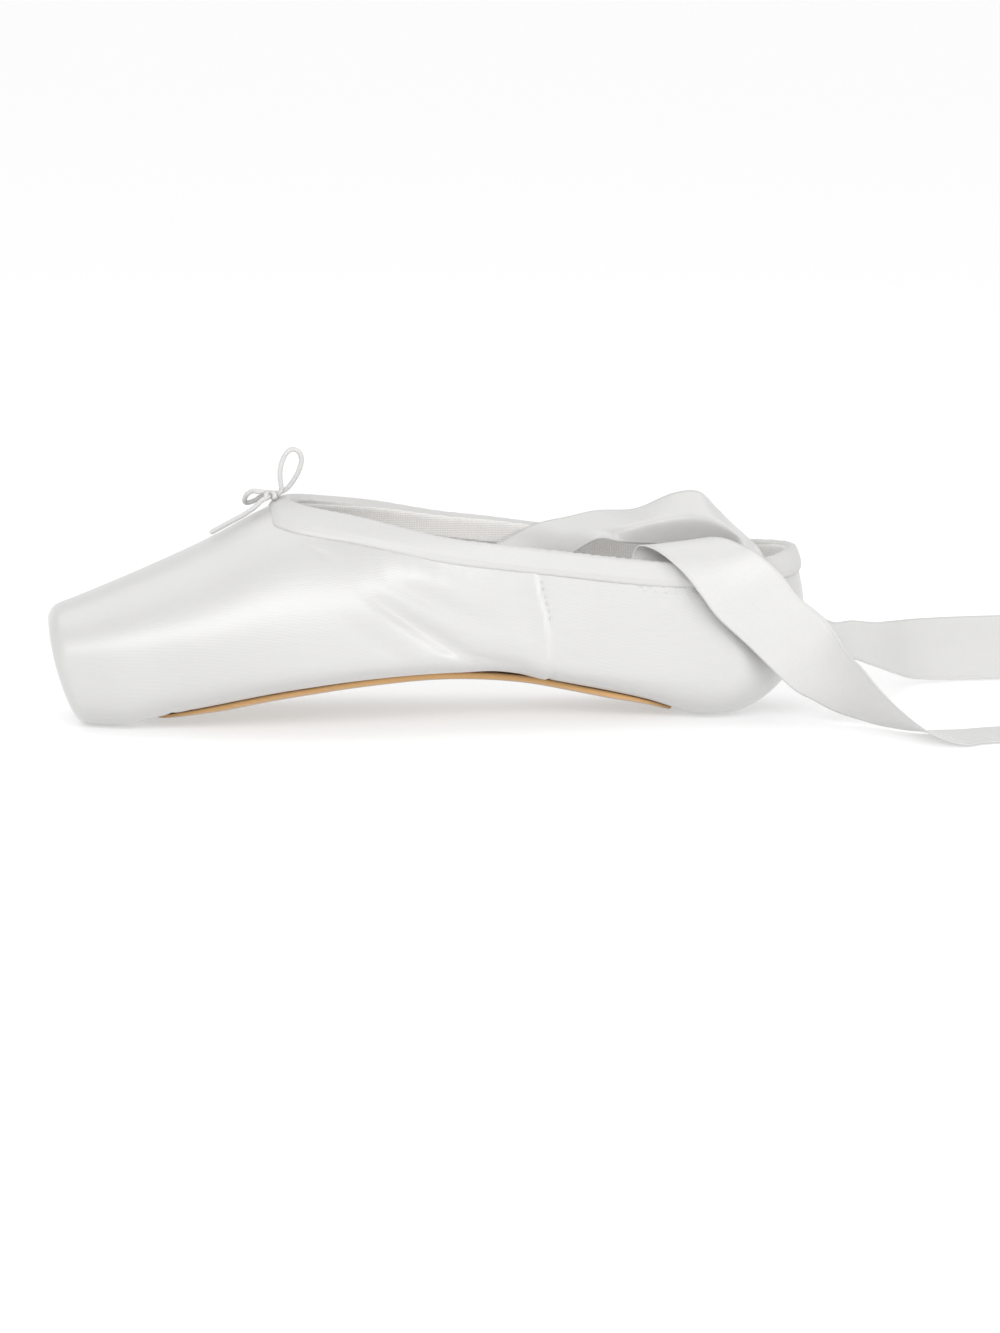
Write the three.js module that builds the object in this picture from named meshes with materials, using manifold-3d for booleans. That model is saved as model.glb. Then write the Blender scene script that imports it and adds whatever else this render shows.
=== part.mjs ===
// Pointe shoe, empty, standing on its platform end and heel.
// Millimetres, +Z up, toe towards -X, heel towards +X, floor at z = 0.

import * as THREE from 'three';
import { mergeVertices } from 'three/addons/utils/BufferGeometryUtils.js';
import Module from 'manifold-3d';

const wasm = await Module();
wasm.setup();

// Driving sizes of the last
const shoeLength = 235;
const ballWidth = 74;
const instepHeight = 68;
const archHeight = 15;
const platformHeight = 35.5;
const platformLean = 9.3;
const platformEdge = 4;
const heelRound = 28;
const heelWaist = 33;
const heelTopLean = 3.4;
const heelFootLean = 20;

// Walls, gaps and trim
const upperWall = 1.8;
const clearance = 0.3;
const sheetGap = 0.5;
const bindingThickness = 0.8;
const casingWidth = 6.6;
const casingFront = 69;
const casingBack = casingFront - 5;
const collarRun = 1.08 * shoeLength;
const collarShare = 0.741;
const collarHeight = collarShare * instepHeight;
const turnedMargin = 5;

// Outsole and insole
const soleThickness = 1.8;
const soleEndThickness = 0.9;
const soleSkive = 7;
const soleWidth = 47;
const soleStart = 30;
const soleHeelMargin = 39;
const soleEnd = shoeLength - soleHeelMargin;
const insoleThickness = 1.2;
const insoleWidth = 50;
const insoleStart = 22;
const insoleHeelMargin = 18;
const insoleEnd = shoeLength - insoleHeelMargin;

// Drawstring and ribbons
const cordDiameter = 1.5;
const knotWidth = 4.6;
const ribbonThickness = 0.6;

// Finishes
const satin = new THREE.MeshStandardMaterial({ color: 0xe9e8e6, roughness: 0.42, metalness: 0 });
const satinTrim = new THREE.MeshStandardMaterial({ color: 0xe4e3e1, roughness: 0.48, metalness: 0 });
const ribbonSatin = new THREE.MeshStandardMaterial({ color: 0xe6e5e3, roughness: 0.36, metalness: 0 });
const elastic = new THREE.MeshStandardMaterial({ color: 0xdcdbd8, roughness: 0.8, metalness: 0 });
const tanLeather = new THREE.MeshStandardMaterial({ color: 0xc99b62, roughness: 0.6, metalness: 0 });
const sockCanvas = new THREE.MeshStandardMaterial({ color: 0xd8d6d1, roughness: 0.85, metalness: 0 });

// Sections of the last, toe to heel. Columns: at, share of shoeLength; wide, full width over
// ballWidth; top, crown height over instepHeight; under, underside over archHeight; widest, height
// of the widest line over instepHeight; crown and base, how square the upper and lower halves are.
const lastSections = [
  { at: 0.00, wide: 0.58, top: 0.510, under: -0.03, widest: 0.25, crown: 2.30, base: 2.60 },
  { at: 0.04, wide: 0.66, top: 0.560, under: -0.03, widest: 0.27, crown: 2.25, base: 2.80 },
  { at: 0.085, wide: 0.75, top: 0.622, under: -0.03, widest: 0.28, crown: 2.20, base: 2.90 },
  { at: 0.13, wide: 0.82, top: 0.687, under: 0.15, widest: 0.30, crown: 2.15, base: 3.00 },
  { at: 0.21, wide: 0.93, top: 0.811, under: 0.40, widest: 0.33, crown: 2.10, base: 3.00 },
  { at: 0.28, wide: 0.99, top: 0.940, under: 0.63, widest: 0.35, crown: 2.05, base: 3.00 },
  { at: 0.325, wide: 1.00, top: 1.003, under: 0.75, widest: 0.36, crown: 2.00, base: 3.00 },
  { at: 0.41, wide: 0.97, top: 1.037, under: 0.92, widest: 0.37, crown: 2.00, base: 3.00 },
  { at: 0.515, wide: 0.87, top: 1.176, under: 1.01, widest: 0.37, crown: 2.00, base: 3.00 },
  { at: 0.615, wide: 0.79, top: 1.353, under: 0.91, widest: 0.35, crown: 2.00, base: 3.00 },
  { at: 0.70, wide: 0.76, top: 1.324, under: 0.65, widest: 0.29, crown: 2.00, base: 2.90 },
  { at: 0.78, wide: 0.745, top: 1.206, under: 0.35, widest: 0.25, crown: 2.00, base: 2.80 },
  { at: 0.83, wide: 0.740, top: 1.120, under: 0.12, widest: 0.23, crown: 2.00, base: 2.70 },
  { at: 0.87, wide: 0.735, top: 1.045, under: -0.03, widest: 0.22, crown: 2.00, base: 2.60 },
  { at: 0.94, wide: 0.725, top: 0.926, under: -0.03, widest: 0.21, crown: 2.00, base: 2.50 },
  { at: 1.00, wide: 0.715, top: 0.897, under: -0.03, widest: 0.21, crown: 2.00, base: 2.50 },
];

// Edge of the collar, throat to heel. Columns: at, share of shoeLength; high, over collarHeight.
const collarEdge = [
  { at: 0.28, high: 1.373 },
  { at: 0.325, high: 1.325 },
  { at: 0.41, high: 1.258 },
  { at: 0.515, high: 1.151 },
  { at: 0.60, high: 1.095 },
  { at: 0.65, high: 1.063 },
  { at: 0.78, high: 0.984 },
  { at: 0.86, high: 0.964 },
  { at: 0.94, high: 0.968 },
  { at: 1.00, high: 1.000 },
  { at: 1.08, high: 1.042 },
];

// Half outline of the outsole. Columns: at, share from its toe end to its heel end; wide, full
// width over soleWidth.
const soleOutline = [
  { at: 0.00, wide: 0.00 },
  { at: 0.012, wide: 0.34 },
  { at: 0.035, wide: 0.60 },
  { at: 0.08, wide: 0.80 },
  { at: 0.16, wide: 0.94 },
  { at: 0.27, wide: 1.00 },
  { at: 0.38, wide: 0.92 },
  { at: 0.52, wide: 0.72 },
  { at: 0.66, wide: 0.64 },
  { at: 0.80, wide: 0.72 },
  { at: 0.90, wide: 0.74 },
  { at: 0.955, wide: 0.60 },
  { at: 0.985, wide: 0.36 },
  { at: 1.00, wide: 0.00 },
];

// Half outline of the insole, with the same columns, over insoleWidth.
const insoleOutline = [
  { at: 0.00, wide: 0.00 },
  { at: 0.02, wide: 0.40 },
  { at: 0.06, wide: 0.62 },
  { at: 0.14, wide: 0.82 },
  { at: 0.28, wide: 1.00 },
  { at: 0.42, wide: 0.94 },
  { at: 0.58, wide: 0.78 },
  { at: 0.72, wide: 0.70 },
  { at: 0.86, wide: 0.70 },
  { at: 0.95, wide: 0.54 },
  { at: 0.985, wide: 0.32 },
  { at: 1.00, wide: 0.00 },
];

// Value of one column of a table at a share, on a smooth curve through its rows.
function lookUp(table, column, share) {
  const last = table.length - 1;
  if (share <= table[0].at) return table[0][column];
  if (share >= table[last].at) return table[last][column];
  let i = 0;
  while (share > table[i + 1].at) i += 1;
  const slope = (a, b) => (table[b][column] - table[a][column]) / (table[b].at - table[a].at);
  const step = table[i + 1].at - table[i].at;
  const startSlope = i > 0 ? slope(i - 1, i + 1) : slope(i, i + 1);
  const endSlope = i + 2 <= last ? slope(i, i + 2) : slope(i, i + 1);
  const t = (share - table[i].at) / step;
  const t2 = t * t;
  const t3 = t2 * t;
  return table[i][column] * (2 * t3 - 3 * t2 + 1) + table[i + 1][column] * (3 * t2 - 2 * t3)
    + startSlope * step * (t3 - 2 * t2 + t) + endSlope * step * (t3 - t2);
}

const clamp = (value) => Math.min(1, Math.max(0, value));

// How far a point at a height stands back from the toe end and from the heel end.
function toeLean(share, height) {
  const near = clamp(1 - share / 0.25) ** 2;
  return platformLean * near * clamp(1 - height / platformHeight) ** 1.7;
}

function heelLean(share, height) {
  const near = clamp((share - 0.75) / 0.25) ** 2;
  const above = heelTopLean * clamp((height - heelWaist) / (collarHeight - heelWaist)) ** 1.5;
  const below = heelFootLean * clamp(1 - height / heelWaist) ** 3.2;
  return near * (above + below);
}

// Sizes of the section at a share of the length, on a form that lies inset inside the last.
function sectionAt(share, inset) {
  const along = inset + share * (shoeLength - 2 * inset);
  const round = Math.max(platformEdge - inset, 1.2);
  const edge = clamp(1 - (along - inset) / round);
  const trim = round * (1 - Math.sqrt(1 - edge * edge));
  const intoHeel = clamp((along - shoeLength + heelRound) / (heelRound - inset));
  const heel = Math.sqrt(1 - intoHeel * intoHeel);
  return {
    along,
    half: (lookUp(lastSections, 'wide', share) * ballWidth / 2 - inset - trim) * heel,
    top: lookUp(lastSections, 'top', share) * instepHeight - inset - trim,
    under: lookUp(lastSections, 'under', share) * archHeight + inset + trim,
    widest: lookUp(lastSections, 'widest', share) * instepHeight,
    crown: lookUp(lastSections, 'crown', share),
    base: lookUp(lastSections, 'base', share),
  };
}

const power = (value, exponent) => Math.sign(value) * Math.abs(value) ** exponent;

// Point of the form at a share of the length and an angle round the section, 0 at the far side.
function formPoint(share, angle, inset) {
  const s = sectionAt(share, inset);
  const rise = Math.sin(angle);
  const square = 2 / (rise > 0 ? s.crown : s.base);
  const reach = rise > 0 ? s.top - s.widest : s.widest - s.under;
  const side = s.half * power(Math.cos(angle), square);
  const height = s.widest + reach * power(rise, square);
  return [s.along + toeLean(share, height) - heelLean(share, height), side, height];
}

// Point under the form at a share and a distance from the middle line, lowered by a drop.
function undersidePoint(share, side, inset, drop) {
  const s = sectionAt(share, inset);
  const out = clamp(Math.abs(side) / s.half);
  const height = s.widest - (s.widest - s.under) * (1 - out ** s.base) ** (1 / s.base);
  return [s.along + toeLean(share, height) - heelLean(share, height), side, height - drop];
}

// Closed body from vertices and faces
function bodyOf(positions, faces) {
  const geometry = new THREE.BufferGeometry();
  geometry.setAttribute('position', new THREE.Float32BufferAttribute(positions.flat(), 3));
  geometry.setIndex(faces.flat());
  return mergeVertices(geometry, 1e-4);
}

function solidOf(geometry) {
  const bare = geometry.clone();
  bare.deleteAttribute('normal');
  bare.deleteAttribute('uv');
  const merged = mergeVertices(bare, 1e-4);
  const vertProperties = new Float32Array(merged.attributes.position.array);
  const triVerts = [];
  const index = merged.index.array;
  for (let i = 0; i < index.length; i += 3) {
    const [a, b, c] = [index[i], index[i + 1], index[i + 2]];
    if (a !== b && b !== c && c !== a) triVerts.push(a, b, c);
  }
  return new wasm.Manifold(new wasm.Mesh({ numProp: 3, vertProperties, triVerts: new Uint32Array(triVerts) }));
}

function geometryOf(solid) {
  const mesh = solid.getMesh();
  const geometry = new THREE.BufferGeometry();
  geometry.setAttribute('position', new THREE.BufferAttribute(new Float32Array(mesh.vertProperties), 3));
  geometry.setIndex(new THREE.BufferAttribute(new Uint32Array(mesh.triVerts), 1));
  geometry.computeVertexNormals();
  return geometry;
}

// Shares of the length where the form has a section: close at the platform's edge and the heel.
function stationShares(inset) {
  const round = Math.max(platformEdge - inset, 1.2);
  const span = shoeLength - 2 * inset;
  const shares = [0, 0.06, 0.25, 0.55].map((step) => step * round / span);
  const heelStart = shoeLength - heelRound;
  for (let along = round; along < heelStart - 3; along += 9.5) shares.push(along / span);
  for (let k = 0; k <= 7; k += 1) {
    shares.push((heelStart - inset + (heelRound - inset) * Math.sin(k * Math.PI / 14)) / span);
  }
  shares[shares.length - 1] = 1;
  return shares;
}

// The whole last as a closed solid, inset inside its own outer face.
function lastForm(inset, around = 36) {
  const positions = [];
  const faces = [];
  const shares = stationShares(inset);
  shares.forEach((share) => {
    for (let j = 0; j < around; j += 1) positions.push(formPoint(share, j * 2 * Math.PI / around, inset));
  });
  for (let i = 0; i + 1 < shares.length; i += 1) {
    for (let j = 0; j < around; j += 1) {
      const next = (j + 1) % around;
      const [a, b] = [i * around + j, i * around + next];
      const [c, d] = [a + around, b + around];
      faces.push([a, b, c], [b, d, c]);
    }
  }
  const middle = positions.length;
  const front = sectionAt(0, inset).widest;
  positions.push([inset + toeLean(0, front), 0, front]);
  for (let j = 0; j < around; j += 1) faces.push([middle, (j + 1) % around, j]);
  return solidOf(bodyOf(positions, faces));
}

// A slab across the whole width whose side view is an outline of [along, height] points.
function slabAcross(outline) {
  const shape = new THREE.Shape(outline.map(([along, height]) => new THREE.Vector2(along, height)));
  const geometry = new THREE.ExtrudeGeometry(shape, { depth: 2 * ballWidth, bevelEnabled: false });
  geometry.rotateX(Math.PI / 2);
  geometry.translate(0, ballWidth, 0);
  return solidOf(geometry);
}

const collarAt = (share) => lookUp(collarEdge, 'high', share) * collarHeight;

// Everything above a line that runs a distance above or below the edge of the collar.
function aboveCollar(offset, start, steps = 26) {
  const outline = [];
  for (let k = 0; k <= steps; k += 1) {
    const along = start + (collarRun - start) * k / steps;
    outline.push([along, collarAt(along / shoeLength) + offset]);
  }
  outline.push([collarRun, 2 * instepHeight], [start, 2 * instepHeight]);
  return slabAcross(outline);
}

// A sheet that follows the underside of a form inside a half outline.
function underSheet({ outline, width, start, end, inset, gap, thicknessAt, upward }) {
  const across = 6;
  const positions = [];
  const faces = [];
  const shares = [0, 0.006];
  for (let k = 1; k < 26; k += 1) shares.push(k / 26);
  shares.push(0.994, 1);
  const rowLength = 2 * (across + 1);
  shares.forEach((share) => {
    const half = Math.max(lookUp(outline, 'wide', share), 0) * width / 2;
    const at = (start + (end - start) * share) / shoeLength;
    [gap, gap + thicknessAt(share)].forEach((drop) => {
      for (let j = 0; j <= across; j += 1) {
        const side = half * (2 * j / across - 1);
        positions.push(undersidePoint(at, side, inset, upward ? -drop : drop));
      }
    });
  });
  const quad = (a, b, c, d) => {
    const flip = upward;
    faces.push(flip ? [a, c, b] : [a, b, c], flip ? [a, d, c] : [a, c, d]);
  };
  for (let i = 0; i + 1 < shares.length; i += 1) {
    const row = i * rowLength;
    const after = row + rowLength;
    for (let j = 0; j < across; j += 1) {
      quad(row + j, after + j, after + j + 1, row + j + 1);
      const low = across + 1;
      quad(row + low + j + 1, after + low + j + 1, after + low + j, row + low + j);
    }
    quad(row + across + 1, after + across + 1, after, row);
    quad(row + across, after + across, after + rowLength - 1, row + rowLength - 1);
  }
  return solidOf(bodyOf(positions, faces));
}

// Opening under the upper, a margin inside the outsole's edge, as an upright prism.
function soleOpening() {
  const from = soleStart + 2 * turnedMargin;
  const to = soleEnd - 2 * turnedMargin;
  const near = [];
  const far = [];
  for (let k = 0; k <= 24; k += 1) {
    const along = from + (to - from) * k / 24;
    const share = (along - soleStart) / (soleEnd - soleStart);
    const half = lookUp(soleOutline, 'wide', share) * soleWidth / 2 - turnedMargin;
    const endRound = Math.sqrt(Math.max(1 - (2 * k / 24 - 1) ** 8, 0));
    near.push(new THREE.Vector2(along, -half * endRound));
    if (k > 0 && k < 24) far.unshift(new THREE.Vector2(along, half * endRound));
  }
  const geometry = new THREE.ExtrudeGeometry(new THREE.Shape([...near, ...far]), {
    depth: 2 * archHeight, bevelEnabled: false,
  });
  geometry.translate(0, 0, -archHeight / 2);
  return solidOf(geometry);
}

// Upper: one hollow wall, open at the collar and underneath, flat where it stands on the floor
function makeUpper() {
  const floor = slabAcross([
    [-shoeLength, -archHeight], [2 * shoeLength, -archHeight], [2 * shoeLength, 0], [-shoeLength, 0],
  ]);
  return lastForm(0)
    .subtract(lastForm(upperWall))
    .subtract(aboveCollar(0, casingFront))
    .subtract(soleOpening())
    .subtract(floor);
}

// Casing of the collar: a folded strip over the edge, between two larger forms of the last
function makeBinding() {
  const outer = -clearance - bindingThickness;
  const inner = upperWall + clearance + bindingThickness;
  const strip = lastForm(outer)
    .subtract(lastForm(inner))
    .intersect(aboveCollar(-casingWidth, casingFront))
    .subtract(aboveCollar(clearance + bindingThickness, casingBack));
  const room = lastForm(-clearance)
    .subtract(lastForm(upperWall + clearance))
    .subtract(aboveCollar(clearance, casingBack));
  return strip.subtract(room);
}

// Outsole: one leather, thinner at both ends, under the upper
function makeOutsole() {
  const thicknessAt = (share) => soleEndThickness
    + (soleThickness - soleEndThickness) * Math.min(1, soleSkive * Math.min(share, 1 - share));
  return underSheet({
    outline: soleOutline, width: soleWidth, start: soleStart, end: soleEnd,
    inset: 0, gap: sheetGap, thicknessAt, upward: false,
  });
}

// Insole: a thin sock on the inside of the upper's turned margins
function makeInsole() {
  return underSheet({
    outline: insoleOutline, width: insoleWidth, start: insoleStart, end: insoleEnd,
    inset: upperWall, gap: sheetGap, thicknessAt: () => insoleThickness, upward: true,
  });
}

// A round cord through points chosen by hand
function makeCord(points, steps, diameter = cordDiameter) {
  const section = new THREE.Shape();
  for (let k = 0; k < 8; k += 1) {
    const angle = k * Math.PI / 4;
    const corner = [diameter / 2 * Math.cos(angle), diameter / 2 * Math.sin(angle)];
    if (k === 0) section.moveTo(...corner);
    else section.lineTo(...corner);
  }
  section.closePath();
  const path = new THREE.CatmullRomCurve3(points.map((p) => new THREE.Vector3(...p)), false, 'centripetal');
  return new THREE.ExtrudeGeometry(section, { steps, extrudePath: path, bevelEnabled: false });
}

// Where the drawstring leaves the casing, in the middle of the throat
const bowAt = [69.0, -0.6, 68.9];

const loopUpRoute = [
  [72.4, -0.8, 70.9], [72.1, -1.2, 73.5], [72.0, -1.5, 76.5], [72.8, -1.8, 80.1], [74.6, -1.9, 82.9],
  [76.6, -1.8, 83.3], [78.2, -1.5, 81.9], [78.6, -1.1, 79.5], [77.6, -0.6, 76.1], [76.2, 0.2, 73.5],
  [74.2, 0.8, 70.9],
];

const loopFlatRoute = [
  [65.2, -0.8, 70.3], [63.5, 0.2, 70.3], [61.9, 1.4, 69.1], [61.2, 3.0, 67.3], [61.8, 4.6, 66.1],
  [63.5, 5.2, 66.3], [65.0, 4.4, 67.1], [66.1, 3.0, 68.1],
];

const tailRoute = [
  [66.2, -3.6, 67.9], [63.8, -4.0, 65.8], [60.4, -3.8, 63.5], [57.0, -3.2, 61.6], [53.4, -2.6, 59.6],
  [50.2, -2.2, 57.8],
];

function makeKnot() {
  const geometry = new THREE.SphereGeometry(knotWidth / 2, 14, 10);
  geometry.rotateX(Math.PI / 2);
  geometry.scale(1.5, 1.25, 0.62);
  geometry.translate(...bowAt);
  return geometry;
}

// Ribbons: rows chosen by hand along each ribbon, each with its lower and its upper edge.
const ribbonNearRows = [
  { lower: [171.0, -22.9, 35.0], upper: [188.0, -24.2, 22.5] },
  { lower: [175.5, -20.6, 42.4], upper: [194.0, -22.8, 31.0] },
  { lower: [178.4, -17.6, 48.6], upper: [199.0, -16.8, 41.0] },
  { lower: [179.4, -17.2, 52.4], upper: [201.0, -13.8, 50.0] },
  { lower: [181.2, -19.8, 54.6], upper: [202.0, -15.0, 55.4] },
  { lower: [185.2, -23.7, 53.9], upper: [204.4, -16.6, 56.4] },
  { lower: [189.8, -27.2, 50.8], upper: [208.4, -19.8, 56.1] },
  { lower: [194.6, -28.9, 46.0], upper: [212.2, -23.6, 54.8] },
  { lower: [199.2, -29.9, 39.8], upper: [216.8, -26.2, 52.6] },
  { lower: [203.8, -30.4, 33.6], upper: [223.0, -28.4, 47.2] },
  { lower: [213.4, -30.6, 24.6], upper: [229.4, -28.8, 39.2] },
  { lower: [226.4, -31.0, 11.8], upper: [237.7, -31.5, 32.0] },
  { lower: [233.4, -31.4, 7.7], upper: [242.8, -38.5, 23.5] },
  { lower: [240.1, -32.2, 4.2], upper: [246.2, -44.0, 19.8] },
  { lower: [247.1, -33.4, 1.9], upper: [250.8, -50.0, 14.0] },
  { lower: [253.9, -38.8, 0.7], upper: [255.9, -57.5, 8.9] },
  { lower: [262.3, -47.0, 0.6], upper: [261.7, -66.0, 4.8] },
  { lower: [269.7, -48.6, 0.9], upper: [267.8, -69.4, 2.1] },
  { lower: [277.1, -47.0, 0.7], upper: [274.1, -70.0, 0.7] },
  { lower: [286.1, -44.0, 0.6], upper: [282.6, -66.0, 0.6] },
  { lower: [308.0, -40.0, 0.6], upper: [311.0, -62.4, 0.6] },
  { lower: [322.0, -36.4, 0.6], upper: [334.0, -58.0, 0.6] },
];

const ribbonFarRows = [
  { lower: [137.0, 22.6, 24.0], upper: [125.0, 23.6, 40.6] },
  { lower: [148.0, 19.0, 33.6], upper: [135.0, 22.6, 46.4] },
  { lower: [157.0, 14.0, 42.0], upper: [144.5, 22.0, 51.0] },
  { lower: [165.0, 7.0, 49.2], upper: [153.5, 22.2, 55.3] },
  { lower: [171.6, 2.0, 53.6], upper: [163.0, 21.6, 57.4] },
  { lower: [178.0, 2.2, 52.2], bend: [177.6, 2.6, 56.4], upper: [172.4, 18.8, 59.8] },
  { lower: [187.0, 2.4, 51.6], bend: [186.6, 0.0, 58.8], upper: [184.0, 14.2, 60.9] },
  { lower: [196.0, 1.0, 51.6], bend: [196.0, -3.0, 60.5], upper: [194.7, 9.0, 66.2] },
  { lower: [202.4, -2.4, 51.8], bend: [202.8, -6.5, 60.8], upper: [202.6, 6.0, 67.2] },
  { lower: [207.0, -7.0, 52.0], bend: [207.6, -10.5, 59.6], upper: [207.6, 1.2, 62.8] },
  { lower: [210.6, -12.6, 52.6], bend: [211.4, -14.8, 57.5], upper: [211.8, -4.0, 58.6] },
  { lower: [212.0, -17.8, 53.2], bend: [213.2, -17.8, 55.4], upper: [215.4, -10.0, 55.4] },
  { lower: [212.2, -23.6, 49.6], upper: [218.4, -18.0, 52.6] },
  { lower: [211.4, -25.9, 42.0], upper: [221.0, -22.6, 47.2] },
  { lower: [213.2, -27.5, 32.6], upper: [225.6, -24.9, 42.0] },
  { lower: [219.4, -27.8, 24.6], upper: [232.8, -25.4, 35.6] },
  { lower: [231.4, -25.8, 17.4], upper: [241.2, -17.4, 29.6] },
  { lower: [244.2, -20.2, 18.8], upper: [249.4, -5.0, 27.6] },
  { lower: [257.4, -3.0, 12.6], upper: [259.4, 12.6, 23.8] },
  { lower: [267.2, 14.4, 6.8], upper: [267.4, 29.4, 21.0] },
  { lower: [277.0, 29.0, 2.2], upper: [277.4, 41.8, 19.4] },
  { lower: [292.6, 35.0, 0.7], upper: [292.8, 47.0, 19.0] },
  { lower: [312.0, 36.0, 0.7], upper: [312.0, 48.0, 19.0] },
  { lower: [338.0, 36.0, 0.7], upper: [328.0, 48.0, 18.6] },
];

// A band of cloth from a lower to an upper edge, over a bend where a row names one, with a real thickness
function makeRibbon(rows, stepsPerRow = 2) {
  const middleOf = (row) => row.lower.map((value, axis) => (value + row.upper[axis]) / 2);
  const lines = [
    rows.map((row) => row.lower),
    rows.map((row) => row.bend ?? middleOf(row)),
    rows.map((row) => row.upper),
  ].map((points) => new THREE.CatmullRomCurve3(points.map((q) => new THREE.Vector3(...q)), false, 'centripetal'));
  const across = lines.length - 1;
  const steps = stepsPerRow * (rows.length - 1);
  const reach = 0.1 / steps;
  const positions = [];
  const faces = [];
  const rowLength = 2 * (across + 1);
  for (let i = 0; i <= steps; i += 1) {
    const share = i / steps;
    const spine = lines.map((line) => line.getPoint(share));
    const normals = spine.map((point, j) => {
      const travel = lines[j].getPoint(Math.min(share + reach, 1)).sub(lines[j].getPoint(Math.max(share - reach, 0)));
      const width = spine[Math.min(j + 1, across)].clone().sub(spine[Math.max(j - 1, 0)]);
      return travel.cross(width).normalize();
    });
    const sides = [1, -1].map((face) => spine.map(
      (point, j) => point.clone().addScaledVector(normals[j], face * ribbonThickness / 2).toArray(),
    ));
    positions.push(...sides[0], ...sides[1].reverse());
  }
  for (let i = 0; i < steps; i += 1) {
    for (let j = 0; j < rowLength; j += 1) {
      const next = (j + 1) % rowLength;
      const [a, b] = [i * rowLength + j, i * rowLength + next];
      faces.push([a, a + rowLength, b], [b, a + rowLength, b + rowLength]);
    }
  }
  for (const [row, flip] of [[0, false], [steps * rowLength, true]]) {
    for (let j = 0; j < across; j += 1) {
      const [a, b] = [row + j, row + j + 1];
      const [c, d] = [row + rowLength - 2 - j, row + rowLength - 1 - j];
      faces.push(flip ? [a, b, c].reverse() : [a, b, c], flip ? [a, c, d].reverse() : [a, c, d]);
    }
  }
  return solidOf(bodyOf(positions, faces));
}

// The shoe, with its origin under the middle of its length
const shoe = new THREE.Group();
shoe.position.set(-shoeLength / 2, 0, 0);

function addPiece(name, geometry, material) {
  const mesh = new THREE.Mesh(geometry, material);
  mesh.name = name;
  shoe.add(mesh);
}

addPiece('upper', geometryOf(makeUpper()), satin);
addPiece('outsole', geometryOf(makeOutsole()), tanLeather);
addPiece('insole', geometryOf(makeInsole()), sockCanvas);
addPiece('collar_binding', geometryOf(makeBinding()), satinTrim);
addPiece('drawstring_knot', makeKnot(), elastic);
addPiece('drawstring_loop_up', makeCord(loopUpRoute, 14), elastic);
addPiece('drawstring_loop_flat', makeCord(loopFlatRoute, 10), elastic);
addPiece('drawstring_tail', makeCord(tailRoute, 8), elastic);
addPiece('ribbon_near', geometryOf(makeRibbon(ribbonNearRows)), ribbonSatin);
addPiece('ribbon_far', geometryOf(makeRibbon(ribbonFarRows)), ribbonSatin);

const group = new THREE.Group();
group.add(shoe);

export default group;
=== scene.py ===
"""A white satin pointe shoe standing empty on its toe box and heel, with its bow and two ribbons.

Shapes are worked out in the shoe's own millimetres: x from the toe end to the heel, y from the
near side to the far side, z up from the floor. They go into the meshes in metres.
"""

import logging
import math
from dataclasses import dataclass
from enum import Enum
from typing import Sequence

import bmesh
import bpy
import numpy as np
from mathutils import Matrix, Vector


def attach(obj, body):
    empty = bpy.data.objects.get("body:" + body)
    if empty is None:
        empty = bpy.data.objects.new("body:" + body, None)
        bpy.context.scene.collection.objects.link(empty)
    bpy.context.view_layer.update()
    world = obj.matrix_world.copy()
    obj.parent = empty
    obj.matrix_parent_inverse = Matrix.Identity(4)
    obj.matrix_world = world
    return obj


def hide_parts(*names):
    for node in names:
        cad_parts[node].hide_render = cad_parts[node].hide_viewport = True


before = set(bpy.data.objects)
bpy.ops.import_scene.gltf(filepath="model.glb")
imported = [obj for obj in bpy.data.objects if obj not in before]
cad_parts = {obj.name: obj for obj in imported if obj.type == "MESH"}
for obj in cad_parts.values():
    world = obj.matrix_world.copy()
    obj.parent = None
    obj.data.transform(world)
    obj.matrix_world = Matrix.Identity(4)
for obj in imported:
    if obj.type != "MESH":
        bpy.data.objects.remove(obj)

logging.basicConfig(level=logging.INFO, format="%(levelname)s %(message)s")
log = logging.getLogger("shoe")

MM = 0.001
SHOE_LENGTH = 235.0
# the shared frame's origin lies on the floor, under the middle of the length
ORIGIN_X = SHOE_LENGTH / 2
UPPER_WALL = 1.8
CASING_GAP = 0.3
CASING_THICK = 0.8
# the solids leave SHEET_GAP over and under the sheets; the dressed outsole rises to SOLE_SEAM
SHEET_GAP = 0.5
SOLE_SEAM = 0.14
SOLE_THICK = 1.8
SOLE_EDGE_THICK = 0.9
INSOLE_THICK = 1.2
# the flat face of the toe box: the height of its middle, its bulge and its rings from there outwards
TOE_FACE_HEIGHT = 17.0
TOE_FACE_BULGE = 0.5
TOE_FACE_RINGS = (0.0, 0.2, 0.4, 0.6, 0.8, 0.92)
# the sections shrink to a point at the heel's end, so places stop just short of it
HEEL_STOP = 0.99996
HEEL_SLOPE_STOP = 0.99999

Array = np.ndarray


class Side(Enum):
    """Which side of the shoe: near faces the camera."""

    NEAR = -1
    FAR = 1


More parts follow.
